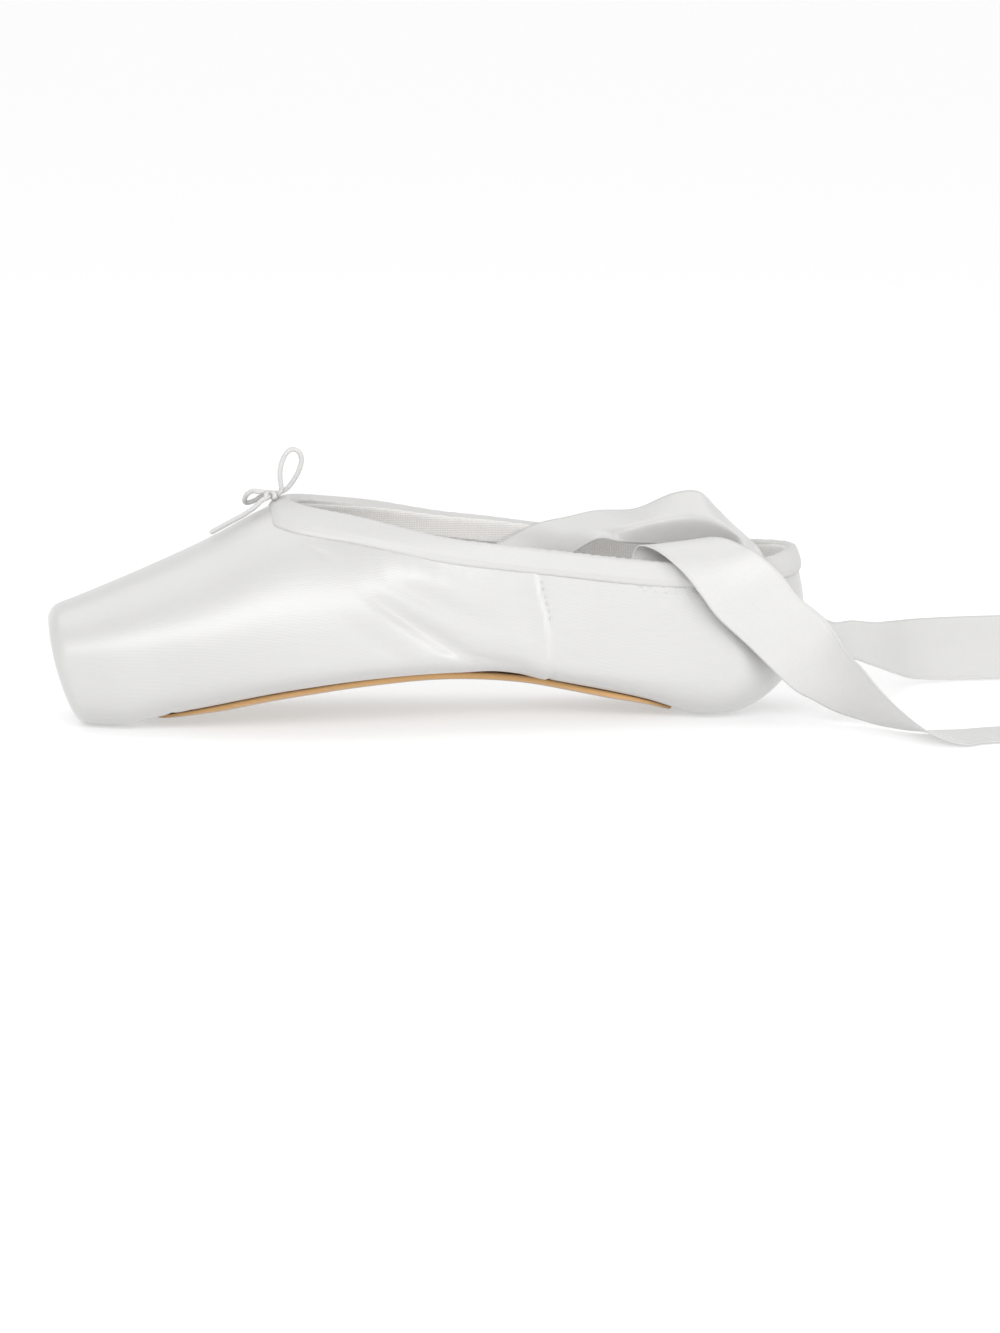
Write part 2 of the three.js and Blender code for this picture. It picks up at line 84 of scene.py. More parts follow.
@dataclass(frozen=True)
class Table:
    """Rows of a profile with named columns, read on a smooth curve through the rows."""

    columns: tuple[str, ...]
    rows: tuple[tuple[float, ...], ...]

    def column(self, name: str) -> Array:
        """One column as an array."""
        return np.array(self.rows)[:, self.columns.index(name)]

    def at(self, name: str, share: Array) -> Array:
        """Values of a column at shares: cubic pieces whose slopes are the rows' central slopes.

        Args:
            name: the column.
            share: places along the first column.

        Returns:
            The column's value at each share.
        """
        place = self.column(self.columns[0])
        value = self.column(name)
        slope = np.gradient(value, place)
        slope[1:-1] = (value[2:] - value[:-2]) / (place[2:] - place[:-2])
        share = np.clip(share, place[0], place[-1])
        i = np.clip(np.searchsorted(place, share, side="left") - 1, 0, len(place) - 2)
        step = place[i + 1] - place[i]
        t = (share - place[i]) / step
        return hermite((value[i], value[i + 1]), (slope[i], slope[i + 1]), step, t)


# at is a share of the length, wide of the ball's width, top and widest of the instep's height and
# under of the arch's; crown and base are the exponents of the ovals over and under the widest line
LAST_SECTIONS = Table(
    ("at", "wide", "top", "under", "widest", "crown", "base"),
    (
        (0.00, 0.58, 0.510, -0.03, 0.25, 2.30, 2.60),
        (0.04, 0.66, 0.560, -0.03, 0.27, 2.25, 2.80),
        (0.085, 0.75, 0.622, -0.03, 0.28, 2.20, 2.90),
        (0.13, 0.82, 0.687, 0.15, 0.30, 2.15, 3.00),
        (0.21, 0.93, 0.811, 0.40, 0.33, 2.10, 3.00),
        (0.28, 0.99, 0.940, 0.63, 0.35, 2.05, 3.00),
        (0.325, 1.00, 1.003, 0.75, 0.36, 2.00, 3.00),
        (0.41, 0.97, 1.037, 0.92, 0.37, 2.00, 3.00),
        (0.515, 0.87, 1.176, 1.01, 0.37, 2.00, 3.00),
        (0.615, 0.79, 1.353, 0.91, 0.35, 2.00, 3.00),
        (0.70, 0.76, 1.324, 0.65, 0.29, 2.00, 2.90),
        (0.78, 0.745, 1.206, 0.35, 0.25, 2.00, 2.80),
        (0.83, 0.740, 1.120, 0.12, 0.23, 2.00, 2.70),
        (0.87, 0.735, 1.045, -0.03, 0.22, 2.00, 2.60),
        (0.94, 0.725, 0.926, -0.03, 0.21, 2.00, 2.50),
        (1.00, 0.715, 0.897, -0.03, 0.21, 2.00, 2.50),
    ),
)

# the collar's edge in the side view, as shares of the shoe's length and of the collar's height
COLLAR_EDGE = Table(
    ("at", "high"),
    (
        (0.28, 1.373),
        (0.325, 1.325),
        (0.41, 1.258),
        (0.515, 1.151),
        (0.60, 1.095),
        (0.65, 1.063),
        (0.78, 0.984),
        (0.86, 0.964),
        (0.94, 0.968),
        (1.00, 1.000),
        (1.08, 1.042),
    ),
)

# outlines of the two sheets, as shares of each one's own length and width
SOLE_OUTLINE = Table(
    ("at", "wide"),
    (
        (0.00, 0.00),
        (0.012, 0.34),
        (0.035, 0.60),
        (0.08, 0.80),
        (0.16, 0.94),
        (0.27, 1.00),
        (0.38, 0.92),
        (0.52, 0.72),
        (0.66, 0.64),
        (0.80, 0.72),
        (0.90, 0.74),
        (0.955, 0.60),
        (0.985, 0.36),
        (1.00, 0.00),
    ),
)

INSOLE_OUTLINE = Table(
    ("at", "wide"),
    (
        (0.00, 0.00),
        (0.02, 0.40),
        (0.06, 0.62),
        (0.14, 0.82),
        (0.28, 1.00),
        (0.42, 0.94),
        (0.58, 0.78),
        (0.72, 0.70),
        (0.86, 0.70),
        (0.95, 0.54),
        (0.985, 0.32),
        (1.00, 0.00),
    ),
)


def signed_power(value: Array, exponent: Array) -> Array:
    """The size of a value raised to an exponent, with the value's own sign."""
    return np.sign(value) * np.abs(value) ** exponent


def smooth_step(value: Array) -> Array:
    """Rises from 0 to 1 as the value does, level at both ends: 3t^2 - 2t^3."""
    t = np.clip(value, 0, 1)
    return t * t * (3 - 2 * t)


def smooth_ends(count: int) -> Array:
    """Numbers from 0 to 1, close together at both ends: half of 1 - cos."""
    return (1 - np.cos(np.linspace(0, math.pi, count))) / 2


def unit(vectors: Array) -> Array:
    """Vectors divided by their own length."""
    return vectors / np.maximum(np.linalg.norm(vectors, axis=-1, keepdims=True), 1e-9)


def travelled(points: Array) -> Array:
    """Distance gone along a line of points, from 0 at its first point."""
    return np.concatenate([[0], np.cumsum(np.linalg.norm(np.diff(points, axis=0), axis=1))])


def hermite(ends: tuple[Array, Array], slopes: tuple[Array, Array], step: Array | float, t: Array) -> Array:
    """A cubic piece from its two end values and slopes, at shares t of its step.

    Args:
        ends: the values at the start and at the end.
        slopes: the slopes there.
        step: the length of the piece.
        t: places on it, from 0 to 1.

    Returns:
        a (2t^3 - 3t^2 + 1) + b (3t^2 - 2t^3) + step (p (t^3 - 2t^2 + t) + q (t^3 - t^2)).
    """
    keep = ends[0] * (2 * t**3 - 3 * t**2 + 1) + ends[1] * (3 * t**2 - 2 * t**3)
    return keep + slopes[0] * step * (t**3 - 2 * t**2 + t) + slopes[1] * step * (t**3 - t**2)


def grid_normals(points: Array) -> Array:
    """Unit cross product of a grid's two directions at each of its points.

    Args:
        points: a grid of points.

    Returns:
        A unit vector for each point.
    """
    along = np.gradient(points, axis=0)
    across = np.gradient(points, axis=1)
    return unit(np.cross(along, across))


def grid_faces(rows: int, columns: int, start: int = 0, flip: bool = False) -> Array:
    """Quads of a grid of vertices that are stored row by row.

    Args:
        rows: rows of vertices.
        columns: vertices in a row.
        start: number of the first vertex.
        flip: turns each face over.

    Returns:
        An array of four vertex numbers a face.
    """
    i, j = np.meshgrid(np.arange(rows - 1), np.arange(columns - 1), indexing="ij")
    a = (start + i * columns + j).ravel()
    quads = np.stack([a, a + columns, a + columns + 1, a + 1], axis=1)
    return quads[:, ::-1] if flip else quads


def shell_faces(rows: int, columns: int, flip: bool = False) -> Array:
    """Faces of a closed sheet: a grid, the same grid on its other side, and the walls between them.

    Args:
        rows: rows of vertices in one grid.
        columns: vertices in a row.
        flip: turns each face over.

    Returns:
        Quads over the vertices of the first grid and then of the second.
    """
    size = rows * columns
    faces = [grid_faces(rows, columns, 0, flip), grid_faces(rows, columns, size, not flip)]
    edges = (
        (np.arange(rows) * columns, True),
        (np.arange(rows) * columns + columns - 1, False),
        (np.arange(columns), False),
        (size - columns + np.arange(columns), True),
    )
    for edge, turned in edges:
        strip = np.stack([edge[:-1], edge[1:], edge[1:] + size, edge[:-1] + size], axis=1)
        faces.append(strip[:, ::-1] if turned != flip else strip)
    return np.concatenate(faces)


def wave_noise(x: Array, z: Array, waves: int, seed: int) -> Array:
    """Smooth ripples: the mean of sines of two coordinates, with turned directions and seeded phases.

    Args:
        x: the first coordinate.
        z: the second coordinate.
        waves: how many sines.
        seed: start of the random draws.

    Returns:
        Values between -1 and 1.
    """
    random = np.random.default_rng(seed)
    total = np.zeros(np.broadcast(x, z).shape)
    for _ in range(waves):
        angle = random.uniform(0, 2 * math.pi)
        phase = random.uniform(0, 2 * math.pi)
        pitch = random.uniform(0.7, 1.6)
        total = total + np.sin(pitch * (x * math.cos(angle) + z * math.sin(angle)) + phase)
    return total / waves


class Mesher:
    """Puts arrays of millimetres into Blender meshes in metres, at the shoe's place."""

    @staticmethod
    def build(
        name: str,
        points: Array,
        faces: Array,
        merge: float = 0.0,
        uv: Array | None = None,
        slots: Array | None = None,
    ) -> bpy.types.Object:
        """Makes one mesh object from vertices and quads.

        Args:
            name: the object's name.
            points: vertices in the shoe's millimetres.
            faces: vertex numbers, four a face.
            merge: distance in millimetres under which vertices become one, 0 for none.
            uv: a pair for each vertex, or None.
            slots: the number of each face's material, or None.

        Returns:
            The object, at the origin.
        """
        place = (points.reshape(-1, 3) - np.array([ORIGIN_X, 0, 0])) * MM
        mesh = bpy.data.meshes.new(name)
        mesh.vertices.add(len(place))
        mesh.vertices.foreach_set("co", place.astype(np.float32).ravel())
        mesh.loops.add(faces.size)
        mesh.loops.foreach_set("vertex_index", faces.astype(np.int32).ravel())
        mesh.polygons.add(len(faces))
        mesh.polygons.foreach_set("loop_start", np.arange(0, faces.size, faces.shape[1], dtype=np.int32))
        mesh.polygons.foreach_set("use_smooth", np.ones(len(faces), dtype=bool))
        mesh.update(calc_edges=True)
        if uv is not None:
            layer = mesh.uv_layers.new(name="UVMap")
            layer.data.foreach_set("uv", uv.reshape(-1, 2)[faces.ravel()].astype(np.float32).ravel())
        if slots is not None:
            mesh.polygons.foreach_set("material_index", slots.astype(np.int32))
        thing = bpy.data.objects.new(name, mesh)
        bpy.context.scene.collection.objects.link(thing)
        if merge > 0:
            Mesher.weld(thing, merge)
        return thing

    @staticmethod
    def weld(thing: bpy.types.Object, distance: float) -> None:
        """Joins near vertices and drops faces left without area.

        Args:
            thing: an object with a mesh.
            distance: in millimetres, under which two vertices become one.
        """
        work = bmesh.new()
        work.from_mesh(thing.data)
        bmesh.ops.remove_doubles(work, verts=work.verts, dist=distance * MM)
        bmesh.ops.dissolve_degenerate(work, dist=1e-6, edges=work.edges)
        work.to_mesh(thing.data)
        work.free()
        thing.data.update()

    @staticmethod
    def outward(thing: bpy.types.Object) -> None:
        """Turns all faces of a closed mesh outwards.

        Args:
            thing: an object with a closed mesh.
        """
        work = bmesh.new()
        work.from_mesh(thing.data)
        bmesh.ops.recalc_face_normals(work, faces=work.faces)
        work.to_mesh(thing.data)
        work.free()


@dataclass(frozen=True)
class Tube:
    """A round cord carried along a path."""

    diameter: float
    around: int = 12

    def mesh(self, path: Array) -> tuple[Array, Array, Array]:
        """Rings of a circle carried along a path with turning that never flips.

        The ring at each point lies across the path's direction; its zero mark is the last one's,
        laid flat again, so the cord isn't twisted. Both ends close to a point.

        Args:
            path: points along the middle of the cord.

        Returns:
            Vertices, faces and a UV pair for each vertex.
        """
        count = len(path)
        travel = unit(np.gradient(path, axis=0))
        mark = np.zeros_like(path)
        start = np.cross(travel[0], [0.3, 1.0, 0.2])
        mark[0] = start / np.linalg.norm(start)
        for k in range(1, count):
            flat = mark[k - 1] - travel[k] * np.dot(mark[k - 1], travel[k])
            mark[k] = flat / np.linalg.norm(flat)
        other = np.cross(travel, mark)
        turn = np.linspace(0, 2 * math.pi, self.around + 1)
        gone = travelled(path)
        full = self.diameter / 2
        left = np.clip(np.minimum(gone, gone[-1] - gone) / full, 0, 1)
        radius = full * np.sqrt(np.clip(1 - (1 - left) ** 2, 0, 1))
        rings = (
            path[:, None]
            + radius[:, None, None]
            * (np.cos(turn)[None, :, None] * mark[:, None] + np.sin(turn)[None, :, None] * other[:, None])
        )
        u = np.broadcast_to(turn / (2 * math.pi), (count, self.around + 1))
        v = np.broadcast_to(gone[:, None], (count, self.around + 1))
        faces = grid_faces(count, self.around + 1, flip=True)
        return rings.reshape(-1, 3), faces, np.stack([u, v], axis=-1)


def curve_through(points: Sequence[Sequence[float]], count: int) -> Array:
    """A smooth curve through given points, with points an even distance apart.

    Each stretch is a cubic whose end slopes follow the neighbours, with knots set by the square
    root of the distance, and the result is walked at even lengths.

    Args:
        points: the points to pass through.
        count: how many points come back.

    Returns:
        An array of points.
    """
    p = np.array(points, dtype=float)
    knot = np.concatenate([[0], np.cumsum(np.sqrt(np.linalg.norm(np.diff(p, axis=0), axis=1)))])
    slope = np.empty_like(p)
    slope[1:-1] = (p[2:] - p[:-2]) / (knot[2:] - knot[:-2])[:, None]
    slope[0] = (p[1] - p[0]) / (knot[1] - knot[0])
    slope[-1] = (p[-1] - p[-2]) / (knot[-1] - knot[-2])
    fine = np.linspace(0, knot[-1], count * 6)
    i = np.clip(np.searchsorted(knot, fine, side="left") - 1, 0, len(knot) - 2)
    step = (knot[i + 1] - knot[i])[:, None]
    t = (fine - knot[i])[:, None] / step
    dense = hermite((p[i], p[i + 1]), (slope[i], slope[i + 1]), step, t)
    gone = travelled(dense)
    even = np.linspace(0, gone[-1], count)
    return np.stack([np.interp(even, gone, dense[:, k]) for k in range(3)], axis=1)


@dataclass(frozen=True)
class Last:
    """The form that the shoe is built on: sections from the toe end to the heel."""

    length: float = SHOE_LENGTH
    ball_width: float = 74.0
    instep_height: float = 68.0
    arch_height: float = 15.0
    platform_height: float = 35.5
    platform_lean: float = 9.3
    platform_edge: float = 4.0
    heel_round: float = 28.0
    heel_waist: float = 33.0
    heel_top_lean: float = 3.4
    heel_foot_lean: float = 20.0
    collar_height: float = 50.388

    def lean(self, share: Array, height: Array) -> Array:
        """How far a point stands back from the toe end, less how far from the heel end.

        The platform's foot stands back by a power of its depth under the platform's top. The heel
        leans in above its waist and rounds under below it. Both fade out along the shoe.

        Args:
            share: place along the shoe, from 0 at the toe to 1 at the heel.
            height: height over the floor.

        Returns:
            The shift along x.
        """
        toe = np.clip(1 - share / 0.25, 0, 1) ** 2
        toe = toe * self.platform_lean * np.clip(1 - height / self.platform_height, 0, 1) ** 1.7
        heel = np.clip((share - 0.75) / 0.25, 0, 1) ** 2
        rise = np.clip((height - self.heel_waist) / (self.collar_height - self.heel_waist), 0, 1) ** 1.5
        foot = np.clip(1 - height / self.heel_waist, 0, 1) ** 3.2
        return toe - heel * (self.heel_top_lean * rise + self.heel_foot_lean * foot)

    def section(self, share: Array, inset: Array | float) -> dict[str, Array]:
        """Sizes of a section of the form, with the edge of the toe face and the heel rounded off.

        Args:
            share: place along the shoe.
            inset: depth inside the last.

        Returns:
            By name: the place along x, the half width, the heights of the top, of the underside and of
            the widest line, and how square the halves over and under that line are.
        """
        along = inset + share * (self.length - 2 * inset)
        edge_round = np.maximum(self.platform_edge - inset, 1.2)
        edge = np.clip(1 - (along - inset) / edge_round, 0, 1)
        trim = edge_round * (1 - np.sqrt(1 - edge**2))
        into_heel = np.clip((along - self.length + self.heel_round) / (self.heel_round - inset), 0, 1)
        heel = np.sqrt(np.clip(1 - into_heel**2, 0, 1))
        wide = LAST_SECTIONS.at("wide", share) * self.ball_width / 2
        return {
            "along": along,
            "half": (wide - inset - trim) * heel,
            "top": LAST_SECTIONS.at("top", share) * self.instep_height - inset - trim,
            "under": LAST_SECTIONS.at("under", share) * self.arch_height + inset + trim,
            "widest": LAST_SECTIONS.at("widest", share) * self.instep_height,
            "crown": LAST_SECTIONS.at("crown", share),
            "base": LAST_SECTIONS.at("base", share),
        }

    def point(self, share: Array, angle: Array, inset: Array | float = 0.0) -> Array:
        """Points of the form: each section is half a squared oval over half another one.

        Args:
            share: place along the shoe.
            angle: turn round the section, 0 at the far side, a quarter turn at the crown.
            inset: depth inside the last.

        Returns:
            The points.
        """
        share, angle, inset = np.broadcast_arrays(share, angle, np.asarray(inset, dtype=float))
        s = self.section(share, inset)
        rise = np.sin(angle)
        square = 2 / np.where(rise > 0, s["crown"], s["base"])
        reach = np.where(rise > 0, s["top"] - s["widest"], s["widest"] - s["under"])
        side = s["half"] * signed_power(np.cos(angle), square)
        height = s["widest"] + reach * signed_power(rise, square)
        return np.stack([s["along"] + self.lean(share, height), side, height], axis=-1)

    def seat(self, points: Array, inset: Array | float) -> Array:
        """Moves points onto the form along the rays of their sections.

        Args:
            points: points near the form.
            inset: depth inside the last.

        Returns:
            The points on the form.
        """
        share = points[..., 0] / self.length
        for _ in range(4):
            along = points[..., 0] - self.lean(share, points[..., 2])
            share = (along - inset) / (self.length - 2 * np.asarray(inset))
        s = self.section(np.clip(share, 0, 1), inset)
        rise = points[..., 2] - s["widest"]
        square = np.where(rise > 0, s["crown"], s["base"]) / 2
        reach = np.where(rise > 0, s["top"] - s["widest"], s["widest"] - s["under"])
        up = signed_power(rise / reach, square)
        out = signed_power(points[..., 1] / np.maximum(s["half"], 1e-3), square)
        return self.point(np.clip(share, 0, 1), np.arctan2(up, out), inset)

    def underside(self, share: Array, side: Array, inset: float, drop: Array) -> Array:
        """Points under the form, on the lower half oval of each section and lowered from there.

        Args:
            share: place along the shoe.
            side: distance from the middle line, less than 0 on the near side.
            inset: depth inside the last.
            drop: how far the points are lowered.

        Returns:
            The points.
        """
        s = self.section(share, inset)
        out = np.clip(np.abs(side) / np.maximum(s["half"], 1e-3), 0, 1)
        height = s["widest"] - (s["widest"] - s["under"]) * (1 - out ** s["base"]) ** (1 / s["base"])
        return np.stack([s["along"] + self.lean(share, height), side, height - drop], axis=-1)

    def collar(self, along: Array) -> Array:
        """Height of the collar's edge at a place along the shoe."""
        return COLLAR_EDGE.at("high", along / self.length) * self.collar_height


@dataclass(frozen=True)
class Fold:
    """A soft trough with a swelling beside it, from one point of the side view to another."""

    start: tuple[float, float]
    end: tuple[float, float]
    depth: float
    width: float
    swell: float = 0.0
    sides: tuple[Side, ...] = (Side.NEAR,)

    def relief(self, x: Array, z: Array, side: Side) -> Array:
        """Height of the fold over the plain form.

        Across the line it is a bell-shaped trough, less a wider bell on its upper side. Along the
        line it swells in and dies out.

        Args:
            x: places along the shoe.
            z: heights over the floor.
            side: the side of the shoe that they are on.

        Returns:
            The height at each of them.
        """
        if side not in self.sides:
            return np.zeros_like(x)
        run = np.array(self.end) - np.array(self.start)
        length = np.linalg.norm(run)
        way = run / length
        along = ((x - self.start[0]) * way[0] + (z - self.start[1]) * way[1]) / length
        across = -(x - self.start[0]) * way[1] + (z - self.start[1]) * way[0]
        ends = smooth_step((along + 0.2) / 0.6) * smooth_step((1.15 - along) / 0.45)
        trough = -self.depth * np.exp(-((across / self.width) ** 2))
        rise = self.swell * np.exp(-(((across - 2.4 * self.width) / (1.9 * self.width)) ** 2))
        return ends * (trough + rise)


BOTH = (Side.NEAR, Side.FAR)

UPPER_FOLDS: tuple[Fold, ...] = (
    Fold((98.0, 42.0), (129.0, 21.6), 1.5, 2.1, 0.3, BOTH),
    Fold((124.0, 22.4), (148.0, 18.5), 1.1, 2.8, 0.7, BOTH),
    Fold((103.0, 46.5), (126.0, 36.0), 0.45, 2.2, 0.5, BOTH),
    Fold((102.0, 34.0), (142.0, 16.5), 0.7, 5.0, 0.2, BOTH),
    Fold((130.0, 15.5), (149.0, 15.0), 0.5, 1.8, 0.2, BOTH),
    Fold((77.0, 57.6), (86.0, 53.6), 0.4, 0.7, 0.15, BOTH),
    Fold((108.0, 43.0), (140.0, 30.0), 0.35, 3.5, 0.3, BOTH),
    Fold((160.0, 14.0), (196.0, 10.0), 0.35, 3.0, 0.2, BOTH),
    Fold((196.0, 36.0), (222.0, 24.0), 0.35, 4.0, 0.2, BOTH),
    Fold((88.0, 36.0), (112.0, 20.0), 0.35, 3.0, 0.2, BOTH),
)

SIDE_SEAM = ((149.0, 46.0), (152.4, 31.0), (152.9, 10.0))


@dataclass
class Upper:
    """The satin upper: an outer and an inner skin over one wall, open at the collar."""

    last: Last
    wall: float = UPPER_WALL
    stations: int = 190
    around: int = 78

    def shares(self) -> Array:
        """Places of the sections, close together at the toe edge, the throat and the heel.

        Returns:
            Shares of the length, rising from 0 to 1.
        """
        throat = self.throat_share()
        edge = self.last.platform_edge / self.last.length
        toe = edge * np.array([0.0, 0.03, 0.1, 0.22, 0.4, 0.65, 1.0])
        body = np.linspace(edge * 1.3, 0.86, self.stations)
        front = throat + 0.09 * np.linspace(0, 1, 28) ** 2
        heel_start = 1 - self.last.heel_round / self.last.length
        heel = heel_start + (1 - heel_start) * np.sin(np.linspace(0, math.pi / 2, 42))
        return np.unique(np.concatenate([toe, body, front, heel[heel > 0.861], [1.0]]).round(7))

    def throat_share(self) -> float:
        """Share of the length where the collar's line comes down through the crown.

        Returns:
            The first share at which the crown stands over that line.
        """
        share = np.linspace(0.26, 0.40, 1400)
        crown = self.last.point(share, np.full_like(share, math.pi / 2))
        over = crown[:, 2] - self.last.collar(crown[:, 0])
        return float(share[np.argmax(over > 0)])

    def end_angles(self, shares: Array, inset: float) -> Array:
        """Turn round each section at which it meets the collar's edge, or the crown.

        Args:
            shares: places of the sections.
            inset: depth inside the last.

        Returns:
            A turn for each section, in proportion between the two samples round the crossing.
        """
        angle = np.linspace(0.02, math.pi / 2, 700)
        points = self.last.point(shares[:, None], angle[None], inset)
        over = points[..., 2] - self.last.collar(points[..., 0])
        cut = over > 0
        first = np.argmax(cut, axis=1)
        row = np.arange(len(shares))
        before = np.maximum(first - 1, 0)
        low = over[row, before]
        high = over[row, first]
        share = np.where(high > low, -low / np.where(high > low, high - low, 1), 0)
        found = angle[before] + share * (angle[first] - angle[before])
        return np.where(cut.any(axis=1), found, math.pi / 2)

    def skin(self, side: Side, inset: float, relief: bool) -> Array:
        """A grid of one half of a skin, from under the middle to the collar or the crown.

        Args:
            side: which half.
            inset: depth inside the last.
            relief: whether folds, seams and pleats are raised on it.

        Returns:
            Points by section and by turn, with the flat toe face in front.
        """
        shares = self.shares()
        end = self.end_angles(shares, inset)
        turn = np.linspace(0, 1, self.around)[None]
        angle = -math.pi / 2 + (end[:, None] + math.pi / 2) * turn
        points = self.last.point(shares[:, None], angle, inset)
        points[..., 1] = points[..., 1] * side.value
        face = np.array(TOE_FACE_RINGS)[:, None, None]
        ring = points[:1]
        back = inset + self.last.lean(np.array(0.0), np.array(TOE_FACE_HEIGHT))
        middle = np.array([back, 0.0, TOE_FACE_HEIGHT])
        cap = middle + (ring - middle) * face
        cap[..., 0] -= TOE_FACE_BULGE * (1 - face[..., 0] ** 2)
        points = np.concatenate([cap, points])
        if relief:
            out = -grid_normals(points) * side.value
            lift = self.relief(points, side)
            points = points + out * lift[..., None]
        points[..., 2] = np.maximum(points[..., 2], inset)
        return points

    def relief(self, points: Array, side: Side) -> Array:
        """Height of all folds, the side seam, the back seam and the toe pleats at points.

        Args:
            points: one half of a skin, with the toe face's rings first.
            side: which half.

        Returns:
            The height at each point: 0 on the toe face, and eased off where it is deep.
        """
        x, y, z = points[..., 0], points[..., 1], points[..., 2]
        lift = sum(fold.relief(x, z, side) for fold in UPPER_FOLDS)
        lift = lift + self.seam_relief(x, z) + self.pleat_relief(x, y, z)
        soft = smooth_step((x - 92) / 30) * smooth_step((z - 6) / 10)
        lift = lift + 0.16 * soft * wave_noise(x * 0.16, z * 0.20, 7, 5)
        gather = np.exp(-(((self.last.collar(x) - z - 9.5) / 3.5) ** 2)) * smooth_step((x - 74) / 8)
        lift = lift + 0.14 * gather * wave_noise(x * 0.9, z * 0.12, 5, 9)
        back = np.exp(-((y / 0.7) ** 2)) * smooth_step((x - 214) / 6) * smooth_step((z - 8) / 8)
        lift = lift - 0.28 * back
        behind_face = (np.arange(points.shape[0]) >= len(TOE_FACE_RINGS))[:, None]
        deep = -0.9 - 0.6 * np.tanh((-0.9 - lift) / 0.6)
        return np.where(lift < -0.9, deep, lift) * behind_face

    def seam_relief(self, x: Array, z: Array) -> Array:
        """A fine groove down the side seam, with the front panel standing a little higher.

        Args:
            x: places along the shoe.
            z: heights over the floor.

        Returns:
            The height at each of them.
        """
        heights = np.array([p[1] for p in SIDE_SEAM])[::-1]
        places = np.array([p[0] for p in SIDE_SEAM])[::-1]
        line = np.interp(z, heights, places)
        off = x - line
        groove = -0.35 * np.exp(-((off / 0.5) ** 2))
        lip = 0.38 * np.exp(-((off / 5.5) ** 2)) * (off < 0)
        fade = smooth_step((z - 6) / 5)
        return (groove + lip) * fade

    def pleat_relief(self, x: Array, y: Array, z: Array) -> Array:
        """Pleats that fan out under the toe from the front end of the sole.

        Args:
            x: places along the shoe.
            y: distances from the middle line.
            z: heights over the floor.

        Returns:
            The height at each of them: grooves between the crests of a wave in the turn round the fan.
        """
        centre = 40.0
        turn = np.arctan2(y, centre - x)
        far = np.hypot(y, centre - x)
        under = smooth_step((9.5 - z) / 6.0)
        band = smooth_step((far - 8) / 4) * smooth_step((27 - far) / 9) * (x < centre + 4)
        waves = np.abs(np.sin(turn * 9.0 + 0.35 * np.sin(3 * turn)))
        return -0.55 * under * band * (1 - waves) ** 1.5

    def build(self) -> bpy.types.Object:
        """Both halves of both skins, joined along the middle and round the rim.

        Returns:
            The upper, with its inner skin in the second material slot.
        """
        points: list[Array] = []
        faces: list[Array] = []
        lining: list[Array] = []
        count = 0
        for side in Side:
            outer = self.skin(side, 0.0, True)
            inner = self.skin(side, self.wall, False)
            rows, columns = outer.shape[:2]
            near = side is Side.NEAR
            faces.append(grid_faces(rows, columns, count, flip=not near))
            faces.append(grid_faces(rows, columns, count + rows * columns, flip=near))
            lining += [np.zeros(len(faces[-1]), int), np.ones(len(faces[-1]), int)]
            points += [outer.reshape(-1, 3), inner.reshape(-1, 3)]
            rim = count + np.arange(rows) * columns + columns - 1
            rim = rim[outer[:, -1, 0] > self.throat_share() * self.last.length]
            low = rim + rows * columns
            strip = np.stack([rim[:-1], rim[1:], low[1:], low[:-1]], axis=1)
            faces.append(strip if near else strip[:, ::-1])
            lining.append(np.zeros(len(strip), int))
            count += 2 * rows * columns
        inside = np.concatenate(lining)
        return Mesher.build("shoe_upper", np.concatenate(points), np.concatenate(faces), 0.02, slots=inside)


